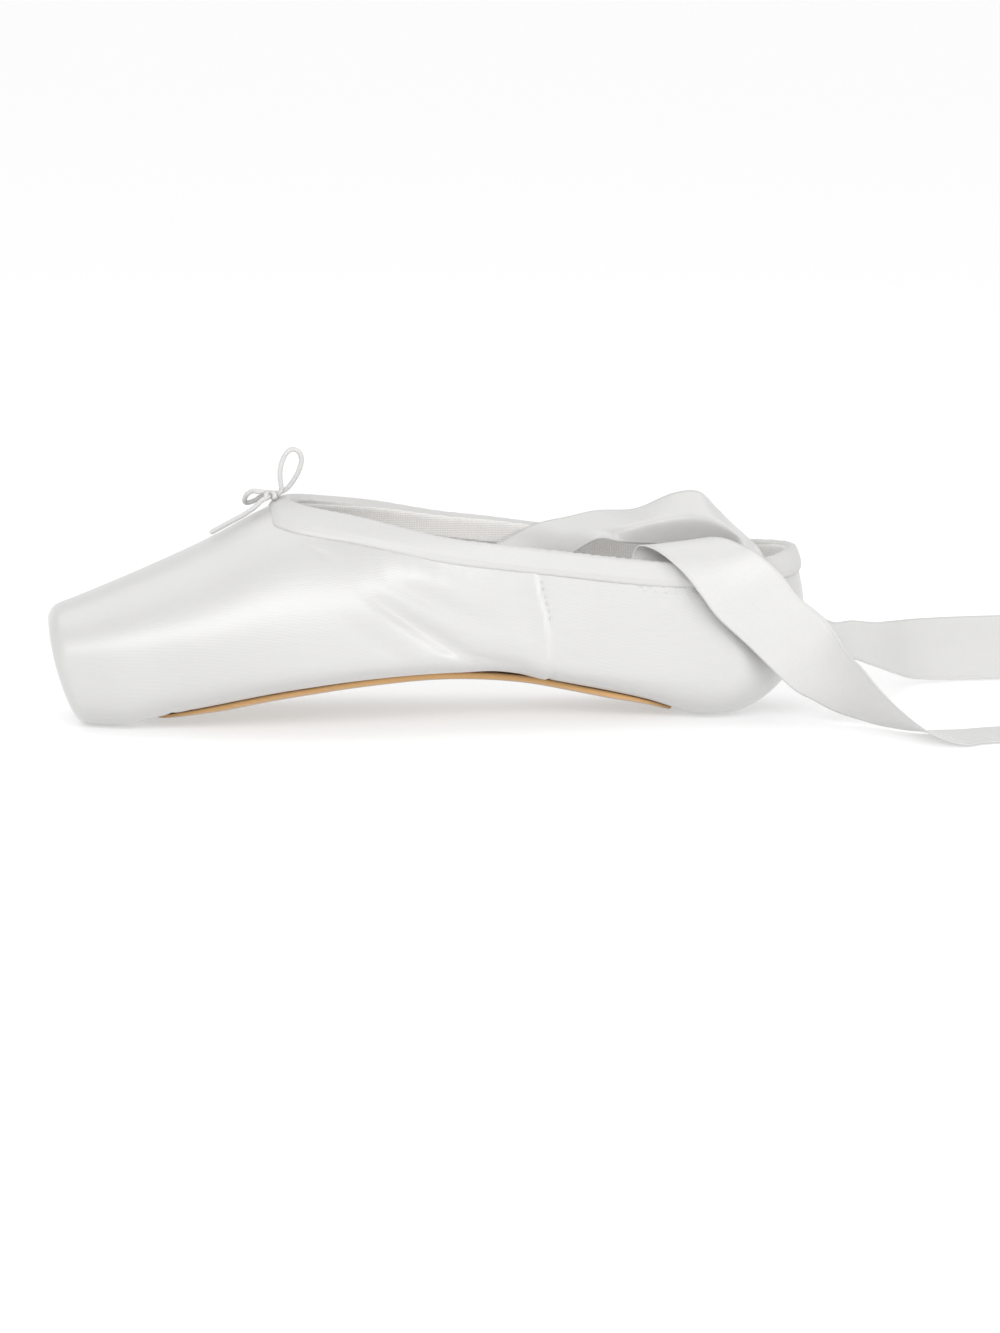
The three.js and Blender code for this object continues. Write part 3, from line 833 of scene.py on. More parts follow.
@dataclass
class Casing:
    """The folded strip over the collar's edge that holds the drawstring."""

    last: Last
    upper: Upper
    width: float = 6.6
    front: float = 69.0
    thick: float = CASING_THICK
    count: int = 330
    steps: int = 44
    reach: float = 15.0
    # faces from this column on, behind the roll and down inside the shoe, take the lining's finish
    inner_from: int = 27

    def edge(self) -> tuple[Array, Array, Array]:
        """The far half of the collar's edge, from the throat to the heel.

        Returns:
            Shares and turns of the form at even distances along the edge, and those distances.
        """
        share = self.upper.throat_share() + (HEEL_STOP - self.upper.throat_share()) * smooth_ends(1600)
        turn = self.upper.end_angles(share, 0.0)
        turn[0] = math.pi / 2
        points = self.last.point(share, turn)
        gone = travelled(points)
        even = np.linspace(0, gone[-1], self.count)
        return np.interp(even, gone, share), np.interp(even, gone, turn), even

    def tangents(self, share: Array, turn: Array) -> tuple[Array, Array, Array]:
        """Slopes of the form at points of it, from small steps of its two parameters.

        Args:
            share: place along the shoe.
            turn: turn round the section.

        Returns:
            The slope along the shoe, the slope round the section and the unit outward direction.
        """
        step = 1e-5
        back = np.clip(share - step, 0, 1)
        ahead = np.clip(share + step, 0, HEEL_SLOPE_STOP)
        along = (self.last.point(ahead, turn) - self.last.point(back, turn)) / (ahead - back)[:, None]
        low = self.last.point(share, turn - step)
        past = np.minimum(turn + step, math.pi / 2)
        round_it = (self.last.point(share, past) - low) / (past - turn + step)[:, None]
        return along, round_it, unit(np.cross(round_it, along))

    def march(self) -> tuple[Array, Array, Array, Array]:
        """Lines over the form, square to the edge at their start and straight from there on.

        At each step the direction is laid flat on the surface again and turned into steps of the
        two parameters with the surface's own metric.

        Returns:
            Points, outward directions and downward directions by place and step, and the distances
            of the places along the edge.
        """
        share, turn, place = self.edge()
        along, round_it, normal = self.tangents(share, turn)
        travel = unit(np.gradient(self.last.point(share, turn), axis=0))
        travel[0] = (0, 1, 0)
        travel[-1] = (0, -1, 0)
        way = unit(np.cross(travel, normal))
        way = way * np.where(np.sum(way * round_it, axis=1, keepdims=True) > 0, -1, 1)
        way[0] = unit(np.array([-1.0, 0, 0]) - normal[0] * -normal[0][0])
        points, normals, ways = [], [], []
        delta = self.reach / self.steps
        for _ in range(self.steps + 1):
            points.append(self.last.point(share, turn))
            normals.append(normal)
            ways.append(way)
            e = np.sum(along * along, axis=1)
            f = np.sum(along * round_it, axis=1)
            g = np.sum(round_it * round_it, axis=1)
            p = np.sum(along * way, axis=1)
            q = np.sum(round_it * way, axis=1)
            spread = np.maximum(e * g - f * f, 1e-9)
            share = np.clip(share + delta * (g * p - f * q) / spread, 0.2, HEEL_STOP)
            turn = np.clip(turn + delta * (e * q - f * p) / spread, -math.pi / 2, math.pi / 2)
            along, round_it, normal = self.tangents(share, turn)
            way = unit(way - normal * np.sum(way * normal, axis=1, keepdims=True))
        stack = [np.stack(rows, axis=1) for rows in (points, normals, ways)]
        return stack[0], stack[1], stack[2], place

    def widths(self, points: Array) -> Array:
        """How far down each line the strip reaches: to its front or to its lower edge.

        Args:
            points: the lines over the form.

        Returns:
            A width for each line, averaged with its neighbours.
        """
        x, z = points[..., 0], points[..., 2]
        room = np.minimum(x - self.front, z - (self.last.collar(x) - self.width))
        inside = np.cumprod(room > 0, axis=1)
        reach = inside.sum(axis=1) - 1
        row = np.arange(len(points))
        after = np.minimum(reach + 1, points.shape[1] - 1)
        share = np.clip(room[row, reach] / np.maximum(room[row, reach] - room[row, after], 1e-6), 0, 1)
        wide = (reach + share) * self.reach / self.steps
        kernel = np.hanning(9) / np.hanning(9).sum()
        padded = np.concatenate([wide[4:0:-1], wide, wide[-2:-6:-1]])
        return np.convolve(padded, kernel, mode="valid")

    def sample(self, field: Array, distance: Array) -> Array:
        """Values of a marched field at a distance down each line, in proportion between two steps.

        Args:
            field: values by line and step.
            distance: how far down each line.

        Returns:
            A value for each line.
        """
        at = np.clip(distance / self.reach * self.steps, 0, self.steps - 1e-6)
        low = at.astype(int)
        t = (at - low)[:, None]
        row = np.arange(len(field))
        return field[row, low] * (1 - t) + field[row, low + 1] * t

    def build(self) -> bpy.types.Object:
        """Both halves of the strip: outer leaf, roll over the edge, inner leaf and their backs.

        Returns:
            The casing, with the faces inside the shoe in the second material slot.
        """
        points, normals, ways, place = self.march()
        wide = self.widths(points)
        near, far = (self.half(points, normals, ways, place, wide, side) for side in Side)
        loop = np.concatenate([far[::-1], near[1:]])
        rows, columns = loop.shape[:2]
        u = np.broadcast_to(np.linspace(0, 1, columns)[None], (rows, columns))
        v = np.broadcast_to(np.linspace(0, 2 * place[-1], rows)[:, None], (rows, columns))
        faces = grid_faces(rows, columns)
        inside = np.tile(np.arange(columns - 1) >= self.inner_from, rows - 1).astype(int)
        made = Mesher.build(
            "collar_casing", loop, faces, uv=np.stack([u, v], axis=-1), merge=0.01, slots=inside
        )
        Mesher.outward(made)
        return made

    def half(
        self, points: Array, normals: Array, ways: Array, place: Array, wide: Array, side: Side
    ) -> Array:
        """One half of the strip as a grid, place by place, each row once round its section.

        The outer leaf swells over the drawstring and dips at its line of stitches. The roll is half an
        oval over the edge, higher on the far side. Seeded ripples gather all of it.

        Args:
            points: the lines over the form.
            normals: outward directions along them.
            ways: downward directions along them.
            place: distance of each line along the edge.
            wide: width of the strip at each line.
            side: which half.

        Returns:
            The grid's points.
        """
        seed = 3 if side is Side.NEAR else 13
        outer_face = CASING_GAP + self.thick
        inner_face = -(self.upper.wall + CASING_GAP + self.thick)
        rows: list[Array] = []
        join = smooth_step(place / 4) * smooth_step((place[-1] - place) / 3)
        for share in np.concatenate([[1.0], np.linspace(1.0, 0.0, 18)]):
            puff = 0.28 * math.sin(math.pi * min(1.0, share * 0.92 + 0.06)) ** 0.8
            stitch = -0.30 * math.exp(-(((1 - share) * self.width - 1.2) / 0.45) ** 2)
            pucker = wave_noise(place * 1.25, np.full(self.count, share * 1.4), 6, seed) * join
            rise = float(smooth_step(np.array((1 - share) * self.width / 2.0 + 0.3)))
            body = outer_face * rise + puff + stitch * rise
            body = body + 0.09 * pucker * math.sin(math.pi * (0.15 + 0.7 * share))
            height = body if rows else np.full(self.count, 0.05)
            down = wide * share + (0.10 * pucker if share > 0.9 else 0.0)
            rows.append(self.sample(points, down) + self.sample(normals, down) * height[:, None])
        edge, out, down = points[:, 0], normals[:, 0], ways[:, 0]
        apart = smooth_step(place / 16) * smooth_step((place[-1] - place) / 22)
        roll = 0.85 + (-0.45 if side is Side.NEAR else 0.65) * apart
        for turn in np.linspace(0, math.pi, 13)[1:-1]:
            middle = (outer_face + inner_face) / 2
            across = middle + (outer_face - middle) * math.cos(turn)
            crimp = wave_noise(place * 1.6, np.full(self.count, turn), 5, seed + 1) * join
            up = (self.thick + roll + 0.2 * crimp) * math.sin(turn) ** 0.7
            rows.append(edge + out * across - down * up[:, None])
        inner_wide = np.minimum(wide, self.width) - 1.0
        for share in np.linspace(0.0, 1.0, 10):
            crimp = wave_noise(place * 1.3, np.full(self.count, share), 5, seed + 2) * join
            at = inner_wide * share
            height = inner_face - 0.16 * crimp
            rows.append(self.sample(points, at) + self.sample(normals, at) * height[:, None])
        for share in (1.0, 0.5, 0.0):
            at = inner_wide * share
            rows.append(self.sample(points, at) - self.sample(normals, at) * (self.upper.wall + 0.1))
        for share in (0.0, 0.5, 1.0):
            at = wide * share
            rows.append(self.sample(points, at) + self.sample(normals, at) * 0.05)
        grid = np.stack(rows, axis=1)
        mirror = np.array([1, side.value, 1])
        grid[[0, -1], :, 1] = 0
        return grid * mirror


@dataclass
class SoleSheet:
    """A sheet of leather or cloth that follows the underside of the last inside an outline."""

    last: Last
    name: str
    outline: Table
    width: float
    start: float
    end: float
    inset: float
    gap: float
    thick: float
    end_thick: float
    upward: bool
    rows: int = 150
    across: int = 36

    def build(self) -> bpy.types.Object:
        """Top and bottom faces whose edges are rounded over by a share of the thickness.

        Returns:
            The sheet as one closed mesh.
        """
        share = np.clip(0.5 * smooth_ends(self.rows) + 0.5 * np.linspace(0, 1, self.rows), 0, 1)
        half = np.maximum(self.outline.at("wide", share), 0) * self.width / 2
        taper = np.minimum(1, 7 * np.minimum(share, 1 - share))
        thick = self.end_thick + (self.thick - self.end_thick) * taper
        turn = np.linspace(-1, 1, self.across)
        cross = np.sign(turn) * (1 - (1 - np.abs(turn)) ** 1.6)
        at = ((self.start + (self.end - self.start) * share) / self.last.length)[:, None]
        side = half[:, None] * cross[None]
        edge = np.sqrt(np.clip(1 - ((np.abs(cross) - 0.94) / 0.06).clip(0, 1) ** 2, 0, 1))[None]
        bevel = 0.35 * thick[:, None] * (1 - edge)
        sign = -1 if self.upward else 1
        base = self.gap * np.ones_like(side)
        first = self.last.underside(at, side, self.inset, sign * (base + bevel))
        second = self.last.underside(at, side, self.inset, sign * (base + thick[:, None] - bevel))
        points = np.concatenate([first.reshape(-1, 3), second.reshape(-1, 3)])
        faces = shell_faces(*first.shape[:2], flip=self.upward)
        made = Mesher.build(self.name, points, faces, merge=0.01)
        Mesher.outward(made)
        return made


@dataclass
class Ribbon:
    """A satin ribbon: a thin band between two given edges; build works out its length."""

    name: str
    node: str
    rows: tuple[tuple[tuple[float, float, float], ...], ...]
    width: float = 22.0
    thick: float = 0.36
    steps: int = 320
    across: int = 30
    seed: int = 1
    length: float = 0.0

    def build(self) -> bpy.types.Object:
        """The band: from edge to edge over a bend at each step, with soft ripples.

        The two faces lie half a thickness to either side. The bend is the middle of the width
        where a row names none, and it is rounded by averaging across the width.

        Returns:
            The ribbon as one closed mesh, with its length put into the length field.
        """
        lower = self.through([row[0] for row in self.rows])
        upper = self.through([row[-1] for row in self.rows])
        bends = [row[1] if len(row) == 3 else np.mean([row[0], row[-1]], axis=0) for row in self.rows]
        bend = self.through(bends)
        share = np.linspace(0, 1, self.across)[None, :, None]
        first = np.linalg.norm(bend - lower, axis=1)
        turn = (first / (first + np.linalg.norm(upper - bend, axis=1)))[:, None, None]
        low = lower[:, None] + (bend - lower)[:, None] * np.clip(share / turn, 0, 1)
        flat = low + (upper - bend)[:, None] * np.clip((share - turn) / (1 - turn), 0, 1)
        for _ in range(6):
            flat[:, 1:-1] = (flat[:, :-2] + 2 * flat[:, 1:-1] + flat[:, 2:]) / 4
        normal = grid_normals(flat)
        middle = (lower + upper) / 2
        gone = travelled(middle)
        ripple = 0.10 * wave_noise(gone[:, None] * 0.22, share[..., 0] * 3.0, 6, self.seed)
        band = flat + normal * ripple[..., None]
        sides = [band + normal * self.thick / 2, band - normal * self.thick / 2]
        rows, columns = band.shape[:2]
        u = np.broadcast_to(share[..., 0], (rows, columns))
        v = np.broadcast_to(gone[:, None], (rows, columns))
        uv = np.stack([u, v], axis=-1)
        made = Mesher.build(self.name, np.stack(sides), shell_faces(rows, columns), uv=np.stack([uv, uv]))
        Mesher.outward(made)
        self.length = float(gone[-1])
        return made

    def through(self, points: Sequence[Sequence[float]]) -> Array:
        """An edge on the curve through its rows, with as many steps between any two rows.

        Args:
            points: the edge's point in each row.

        Returns:
            The points along the curve.
        """
        p = np.array(points, dtype=float)
        slope = np.gradient(p, axis=0)
        fine = np.linspace(0, len(p) - 1, self.steps)
        i = np.clip(fine.astype(int), 0, len(p) - 2)
        t = (fine - i)[:, None]
        return hermite((p[i], p[i + 1]), (slope[i], slope[i + 1]), 1.0, t)


# rows listed from each ribbon's root to its end: a point on one edge, one on the fold where the ribbon is
# folded along its length, and a point on the other edge
RIBBON_NEAR_ROWS = (
    ((171.0, -22.9, 35.0), (188.0, -24.2, 22.5)),
    ((175.5, -20.6, 42.4), (194.0, -22.8, 31.0)),
    ((178.4, -17.6, 48.6), (199.0, -16.8, 41.0)),
    ((179.4, -17.2, 52.4), (201.0, -13.8, 50.0)),
    ((181.2, -19.8, 54.6), (202.0, -15.0, 55.4)),
    ((185.2, -23.7, 53.9), (204.4, -16.6, 56.4)),
    ((189.8, -27.2, 50.8), (208.4, -19.8, 56.1)),
    ((194.6, -28.9, 46.0), (212.2, -23.6, 54.8)),
    ((199.2, -29.9, 39.8), (216.8, -26.2, 52.6)),
    ((203.8, -30.4, 33.6), (223.0, -28.4, 47.2)),
    ((213.4, -30.6, 24.6), (229.4, -28.8, 39.2)),
    ((226.4, -31.0, 11.8), (237.7, -31.5, 32.0)),
    ((233.4, -31.4, 7.7), (242.8, -38.5, 23.5)),
    ((240.1, -32.2, 4.2), (246.2, -44.0, 19.8)),
    ((247.1, -33.4, 1.9), (250.8, -50.0, 14.0)),
    ((253.9, -38.8, 0.7), (255.9, -57.5, 8.9)),
    ((262.3, -47.0, 0.6), (261.7, -66.0, 4.8)),
    ((269.7, -48.6, 0.9), (267.8, -69.4, 2.1)),
    ((277.1, -47.0, 0.7), (274.1, -70.0, 0.7)),
    ((286.1, -44.0, 0.6), (282.6, -66.0, 0.6)),
    ((308.0, -40.0, 0.6), (311.0, -62.4, 0.6)),
    ((322.0, -36.4, 0.6), (334.0, -58.0, 0.6)),
)

RIBBON_FAR_ROWS = (
    ((137.0, 22.6, 24.0), (125.0, 23.6, 40.6)),
    ((148.0, 19.0, 33.6), (135.0, 22.6, 46.4)),
    ((157.0, 14.0, 42.0), (144.5, 22.0, 51.0)),
    ((165.0, 7.0, 49.2), (153.5, 22.2, 55.3)),
    ((171.6, 2.0, 53.6), (163.0, 21.6, 57.4)),
    ((178.0, 2.2, 52.2), (177.6, 2.6, 56.4), (172.4, 18.8, 59.8)),
    ((187.0, 2.4, 51.6), (186.6, 0.0, 58.8), (184.0, 14.2, 60.9)),
    ((196.0, 1.0, 51.6), (196.0, -3.0, 60.5), (194.7, 9.0, 66.2)),
    ((202.4, -2.4, 51.8), (202.8, -6.5, 60.8), (202.6, 6.0, 67.2)),
    ((207.0, -7.0, 52.0), (207.6, -10.5, 59.6), (207.6, 1.2, 62.8)),
    ((210.6, -12.6, 52.6), (211.4, -14.8, 57.5), (211.8, -4.0, 58.6)),
    ((212.0, -17.8, 53.2), (213.2, -17.8, 55.4), (215.4, -10.0, 55.4)),
    ((212.2, -23.6, 49.6), (218.4, -18.0, 52.6)),
    ((211.4, -25.9, 42.0), (221.0, -22.6, 47.2)),
    ((213.2, -27.5, 32.6), (225.6, -24.9, 42.0)),
    ((219.4, -27.8, 24.6), (232.8, -25.4, 35.6)),
    ((231.4, -25.8, 17.4), (241.2, -17.4, 29.6)),
    ((244.2, -20.2, 18.8), (249.4, -5.0, 27.6)),
    ((257.4, -3.0, 12.6), (259.4, 12.6, 23.8)),
    ((267.2, 14.4, 6.8), (267.4, 29.4, 21.0)),
    ((277.0, 29.0, 2.2), (277.4, 41.8, 19.4)),
    ((292.6, 35.0, 0.7), (292.8, 47.0, 19.0)),
    ((312.0, 36.0, 0.7), (312.0, 48.0, 19.0)),
    ((338.0, 36.0, 0.7), (328.0, 48.0, 18.6)),
)


@dataclass
class Bow:
    """The elastic drawstring where it leaves the casing: a knot, two loops and an end."""

    diameter: float = 1.5
    knot: tuple[float, float, float] = (69.0, -0.6, 68.9)
    loop_up: tuple[tuple[float, float, float], ...] = (
        (72.4, -0.8, 70.9), (72.1, -1.2, 73.5), (72.0, -1.5, 76.5), (72.8, -1.8, 80.1), (74.6, -1.9, 82.9),
        (76.6, -1.8, 83.3), (78.2, -1.5, 81.9), (78.6, -1.1, 79.5), (77.6, -0.6, 76.1), (76.2, 0.2, 73.5),
        (74.2, 0.8, 70.9),
    )
    loop_flat: tuple[tuple[float, float, float], ...] = (
        (65.2, -0.8, 70.3), (63.5, 0.2, 70.3), (61.9, 1.4, 69.1), (61.2, 3.0, 67.3), (61.8, 4.6, 66.1),
        (63.5, 5.2, 66.3), (65.0, 4.4, 67.1), (66.1, 3.0, 68.1),
    )
    tail: tuple[tuple[float, float, float], ...] = (
        (66.2, -3.6, 67.9), (63.8, -4.0, 65.8), (60.4, -3.8, 63.5), (57.0, -3.2, 61.6), (53.4, -2.6, 59.6),
        (50.2, -2.2, 57.8),
    )

    def route(self) -> Array:
        """The one line of the cord: out of the casing, up, round, down, round again and along.

        Returns:
            Points an even distance apart.
        """
        start = np.add(self.knot, [(2.0, 0.6, -0.4), (2.6, 0.0, 0.6)])
        between = np.add(self.knot, [(2.6, 1.2, 0.7), (0.0, 0.4, 0.9)])
        last = np.add(self.knot, [(-1.6, 2.0, -0.3), (0.0, 0.0, 0.0), (-1.2, -2.0, -0.4)])
        return curve_through([*start, *self.loop_up, *between, *self.loop_flat, *last, *self.tail], 330)

    def build(self) -> tuple[bpy.types.Object, bpy.types.Object, Array]:
        """The cord as a tube along its route, and the knot as two rings of the same cord.

        Returns:
            The cord, the knot's wraps and the route.
        """
        route = self.route()
        points, faces, uv = Tube(self.diameter).mesh(route)
        cord = Mesher.build("drawstring_cord", points, faces, uv=uv)
        wraps: list[Array] = []
        wrap_faces: list[Array] = []
        wrap_uv: list[Array] = []
        count = 0
        turn = np.linspace(0, 2 * math.pi, 44)
        # each wrap's place along the shoe from the knot's middle, its tilt and its half width
        for shift, tilt, wide in ((-0.85, 0.35, 2.0), (0.75, -0.3, 2.15)):
            ring = np.stack(
                [
                    self.knot[0] + shift + tilt * 1.6 * np.cos(turn),
                    self.knot[1] + wide * np.cos(turn),
                    self.knot[2] + 0.15 + 0.78 * np.sin(turn),
                ],
                axis=1,
            )
            p, f, t = Tube(self.diameter * 0.98).mesh(ring)
            wraps.append(p)
            wrap_faces.append(f + count)
            wrap_uv.append(t.reshape(-1, 2))
            count += len(p)
        uv = np.concatenate(wrap_uv)
        knot = Mesher.build("drawstring_wraps", np.concatenate(wraps), np.concatenate(wrap_faces), uv=uv)
        return cord, knot, route


@dataclass
class Stitching:
    """Short thread stitches laid on the upper, joined into one mesh."""

    last: Last
    length: float = 1.5
    thick: float = 0.34

    def stitches(self, name: str, places: Array, ways: Array, normals: Array) -> bpy.types.Object:
        """One low, rounded bar for each stitch.

        Args:
            name: the piece's name.
            places: middles of the stitches.
            ways: unit directions along the stitches.
            normals: unit directions out of the cloth.

        Returns:
            The joined mesh.
        """
        rings, around = 7, 8
        along = np.linspace(-0.5, 0.5, rings)
        turn = np.linspace(0, 2 * math.pi, around)
        arch = np.sqrt(np.clip(1 - (2 * along) ** 4, 0, 1))
        body = np.stack(
            [
                np.broadcast_to(along[:, None] * self.length, (rings, around)),
                arch[:, None] * np.cos(turn)[None] * self.thick / 2,
                arch[:, None] * (np.sin(turn)[None] * self.thick / 2) + 0.12 * (arch[:, None] - 0.6),
            ],
            axis=-1,
        )
        across = np.cross(normals, ways)
        axes = np.stack([ways, across, normals], axis=1)
        points = places[:, None, None] + np.einsum("rcj,njk->nrck", body, axes)
        start = np.arange(len(places)) * rings * around
        faces = (grid_faces(rings, around, flip=True) + start[:, None, None]).reshape(-1, 4)
        return Mesher.build(name, points, faces)

    def on_form(self, places: Array, inset: float = 0.0) -> tuple[Array, Array]:
        """Seats places on the upper.

        Args:
            places: points near the upper.
            inset: depth inside the last.

        Returns:
            The seated points, and the unit directions out of the upper there.
        """
        seated = self.last.seat(places, inset)
        lifted = self.last.seat(places, inset - 1.0)
        return seated, unit(lifted - seated)

    def build_side_seams(self) -> bpy.types.Object:
        """A short row of stitches down each side seam under the casing.

        Returns:
            The stitches as one mesh.
        """
        heights = np.arange(34.0, 47.0, 2.3)
        line = np.interp(heights, [p[1] for p in SIDE_SEAM][::-1], [p[0] for p in SIDE_SEAM][::-1])
        both = [np.stack([line + 1.1, np.full_like(line, s.value * 28.0), heights], axis=1) for s in Side]
        places, normals = self.on_form(np.concatenate(both), -0.12)
        ways = unit(np.cross(normals, np.tile([[1.0, 0.0, 0.25]], (len(places), 1))))
        return self.stitches("seam_stitches", places, ways, normals)

    def build_ribbon_roots(self) -> bpy.types.Object:
        """Two small rows on each quarter, where the ribbons are sewn on inside.

        Returns:
            The stitches as one mesh.
        """
        rows: list[Array] = []
        lines = ((43.2, np.arange(181.0, 200.0, 2.6)), (41.4, np.arange(182.0, 198.0, 3.1)))
        for side in Side:
            for height, starts in lines:
                y = np.full_like(starts, side.value * 26.0)
                tilt = 0.35 * np.sin(starts * 1.7)
                rows.append(np.stack([starts, y, height + tilt], axis=1))
        places, normals = self.on_form(np.concatenate(rows), -0.1)
        ways = unit(np.cross(np.tile([[0.0, 0.0, 1.0]], (len(places), 1)), normals))
        return self.stitches("ribbon_stitches", places, ways, normals)


class Wire:
    """A socket of a material's graph, with the sums that are used written as expressions."""

    def __init__(self, graph: "Graph", socket: bpy.types.NodeSocket) -> None:
        """Holds a socket and the graph that it belongs to."""
        self.graph = graph
        self.socket = socket

    def math(self, operation: str, *others: "Wire | float") -> "Wire":
        """One Math node on this socket and others."""
        node = self.graph.node("ShaderNodeMath", {"operation": operation}, dict(enumerate((self, *others))))
        return Wire(self.graph, node.outputs[0])

    def __add__(self, other: "Wire | float") -> "Wire":
        """Sum."""
        return self.math("ADD", other)

    def __mul__(self, other: "Wire | float") -> "Wire":
        """Product."""
        return self.math("MULTIPLY", other)

    def __sub__(self, other: "Wire | float") -> "Wire":
        """Difference."""
        return self.math("SUBTRACT", other)

    def __rsub__(self, other: float) -> "Wire":
        """A number less this socket."""
        node = self.graph.node("ShaderNodeMath", {"operation": "SUBTRACT"}, {0: other, 1: self})
        return Wire(self.graph, node.outputs[0])

    __radd__ = __add__
    __rmul__ = __mul__


class Graph:
    """A material's nodes, made through one method, with a few named patterns."""

    def __init__(self, name: str) -> None:
        """Starts an empty material with a shader and an output.

        Args:
            name: the material's name.
        """
        self.material = bpy.data.materials.new(name)
        self.material.use_nodes = True
        self.tree = self.material.node_tree
        self.tree.nodes.clear()
        self.shader = self.node("ShaderNodeBsdfPrincipled", {}, {})
        output = self.node("ShaderNodeOutputMaterial", {}, {})
        self.tree.links.new(self.shader.outputs[0], output.inputs[0])

    def node(self, kind: str, settings: dict, sockets: dict) -> bpy.types.Node:
        """Makes a node.

        Args:
            kind: the node's type.
            settings: its own settings, set first.
            sockets: values or wires by a socket's name or number.

        Returns:
            The node.
        """
        made = self.tree.nodes.new(kind)
        for key, value in settings.items():
            setattr(made, key, value)
        for key, value in sockets.items():
            if isinstance(value, Wire):
                self.tree.links.new(value.socket, made.inputs[key])
            else:
                made.inputs[key].default_value = value
        return made

    def wire(self, node: bpy.types.Node, output: int | str = 0) -> Wire:
        """An output of a node as a wire."""
        return Wire(self, node.outputs[output])

    def coordinates(self, kind: str = "Object") -> Wire:
        """The piece's own coordinates: Object, UV or Normal."""
        return self.wire(self.node("ShaderNodeTexCoord", {}, {}), kind)

    def stretched(self, source: Wire, scale: tuple[float, float, float]) -> Wire:
        """Coordinates multiplied along each axis."""
        return self.wire(self.node("ShaderNodeMapping", {}, {"Vector": source, "Scale": scale}))

    def noise(self, source: Wire, scale: float, detail: float = 3.0, rough: float = 0.55) -> Wire:
        """Soft noise from 0 to 1."""
        sockets = {"Vector": source, "Scale": scale, "Detail": detail, "Roughness": rough}
        return self.wire(self.node("ShaderNodeTexNoise", {}, sockets), "Fac")

    def waves(self, source: Wire, scale: float, direction: str, distort: float = 0.0) -> Wire:
        """Parallel waves from 0 to 1.

        Args:
            source: the coordinates.
            scale: how close the waves stand.
            direction: the axis that they follow one another along, or DIAGONAL.
            distort: how far noise bends them.

        Returns:
            The waves.
        """
        made = self.node(
            "ShaderNodeTexWave",
            {"wave_type": "BANDS", "bands_direction": direction, "wave_profile": "SIN"},
            {"Vector": source, "Scale": scale, "Distortion": distort, "Detail": 1.0},
        )
        return self.wire(made, "Fac")

    def blend(self, share: Wire | float, first: tuple | Wire, second: tuple | Wire) -> Wire:
        """A colour between two colours."""
        made = self.node("ShaderNodeMix", {"data_type": "RGBA"}, {"Factor": share, 6: first, 7: second})
        return self.wire(made, 2)

    def bump(self, height: Wire, distance: float, strength: float = 1.0, under: Wire | None = None) -> Wire:
        """A bump node, over another bump where one is given.

        Args:
            height: what stands up.
            distance: how far, in metres.
            strength: share of it that is used.
            under: the other bump.

        Returns:
            The bent normal.
        """
        sockets = {"Height": height, "Distance": distance, "Strength": strength}
        if under is not None:
            sockets["Normal"] = under
        return self.wire(self.node("ShaderNodeBump", {}, sockets))

    def feed(self, **sockets: Wire | float | tuple) -> None:
        """Values or wires into the shader, by socket name with _ for a space."""
        for key, value in sockets.items():
            place = self.shader.inputs[key.replace("_", " ")]
            if isinstance(value, Wire):
                self.tree.links.new(value.socket, place)
            else:
                place.default_value = value


Colour = tuple[float, float, float, float]


@dataclass(frozen=True)
class SatinFinish:
    """White shoe satin: fine twill lines, faint slubs and soft cloudy gloss."""

    name: str
    light: Colour = (0.555, 0.552, 0.545, 1)
    shade: Colour = (0.48, 0.477, 0.47, 1)
    roughness: float = 0.40
    coat: float = 0.8
    thread: float = 0.00028

    def material(self) -> bpy.types.Material:
        """The finish on Object coordinates.

        Returns:
            The material.
        """
        graph = Graph(self.name)
        place = graph.coordinates()
        cloud = graph.noise(place, 22, 4)
        slub = graph.noise(graph.stretched(place, (60, 900, 900)), 1.0, 2)
        pitch = 1 / self.thread / 6.28
        twill = graph.waves(graph.stretched(place, (0.25, 1.0, 1.0)), pitch, "DIAGONAL", 0.4)
        tone = graph.blend(cloud * 0.6 + slub * 0.25, self.shade, self.light)
        thread = graph.bump(twill, 0.00003, 0.5)
        soft = graph.bump(slub, 0.00008, 0.5, thread)
        graph.feed(
            Base_Color=tone,
            Roughness=cloud * 0.10 + (self.roughness - 0.05) + slub * 0.05,
            Normal=soft,
            Sheen_Weight=0.18,
            Sheen_Roughness=0.4,
            Coat_Weight=self.coat,
            Coat_Roughness=0.34,
            Specular_IOR_Level=0.8,
        )
        return graph.material


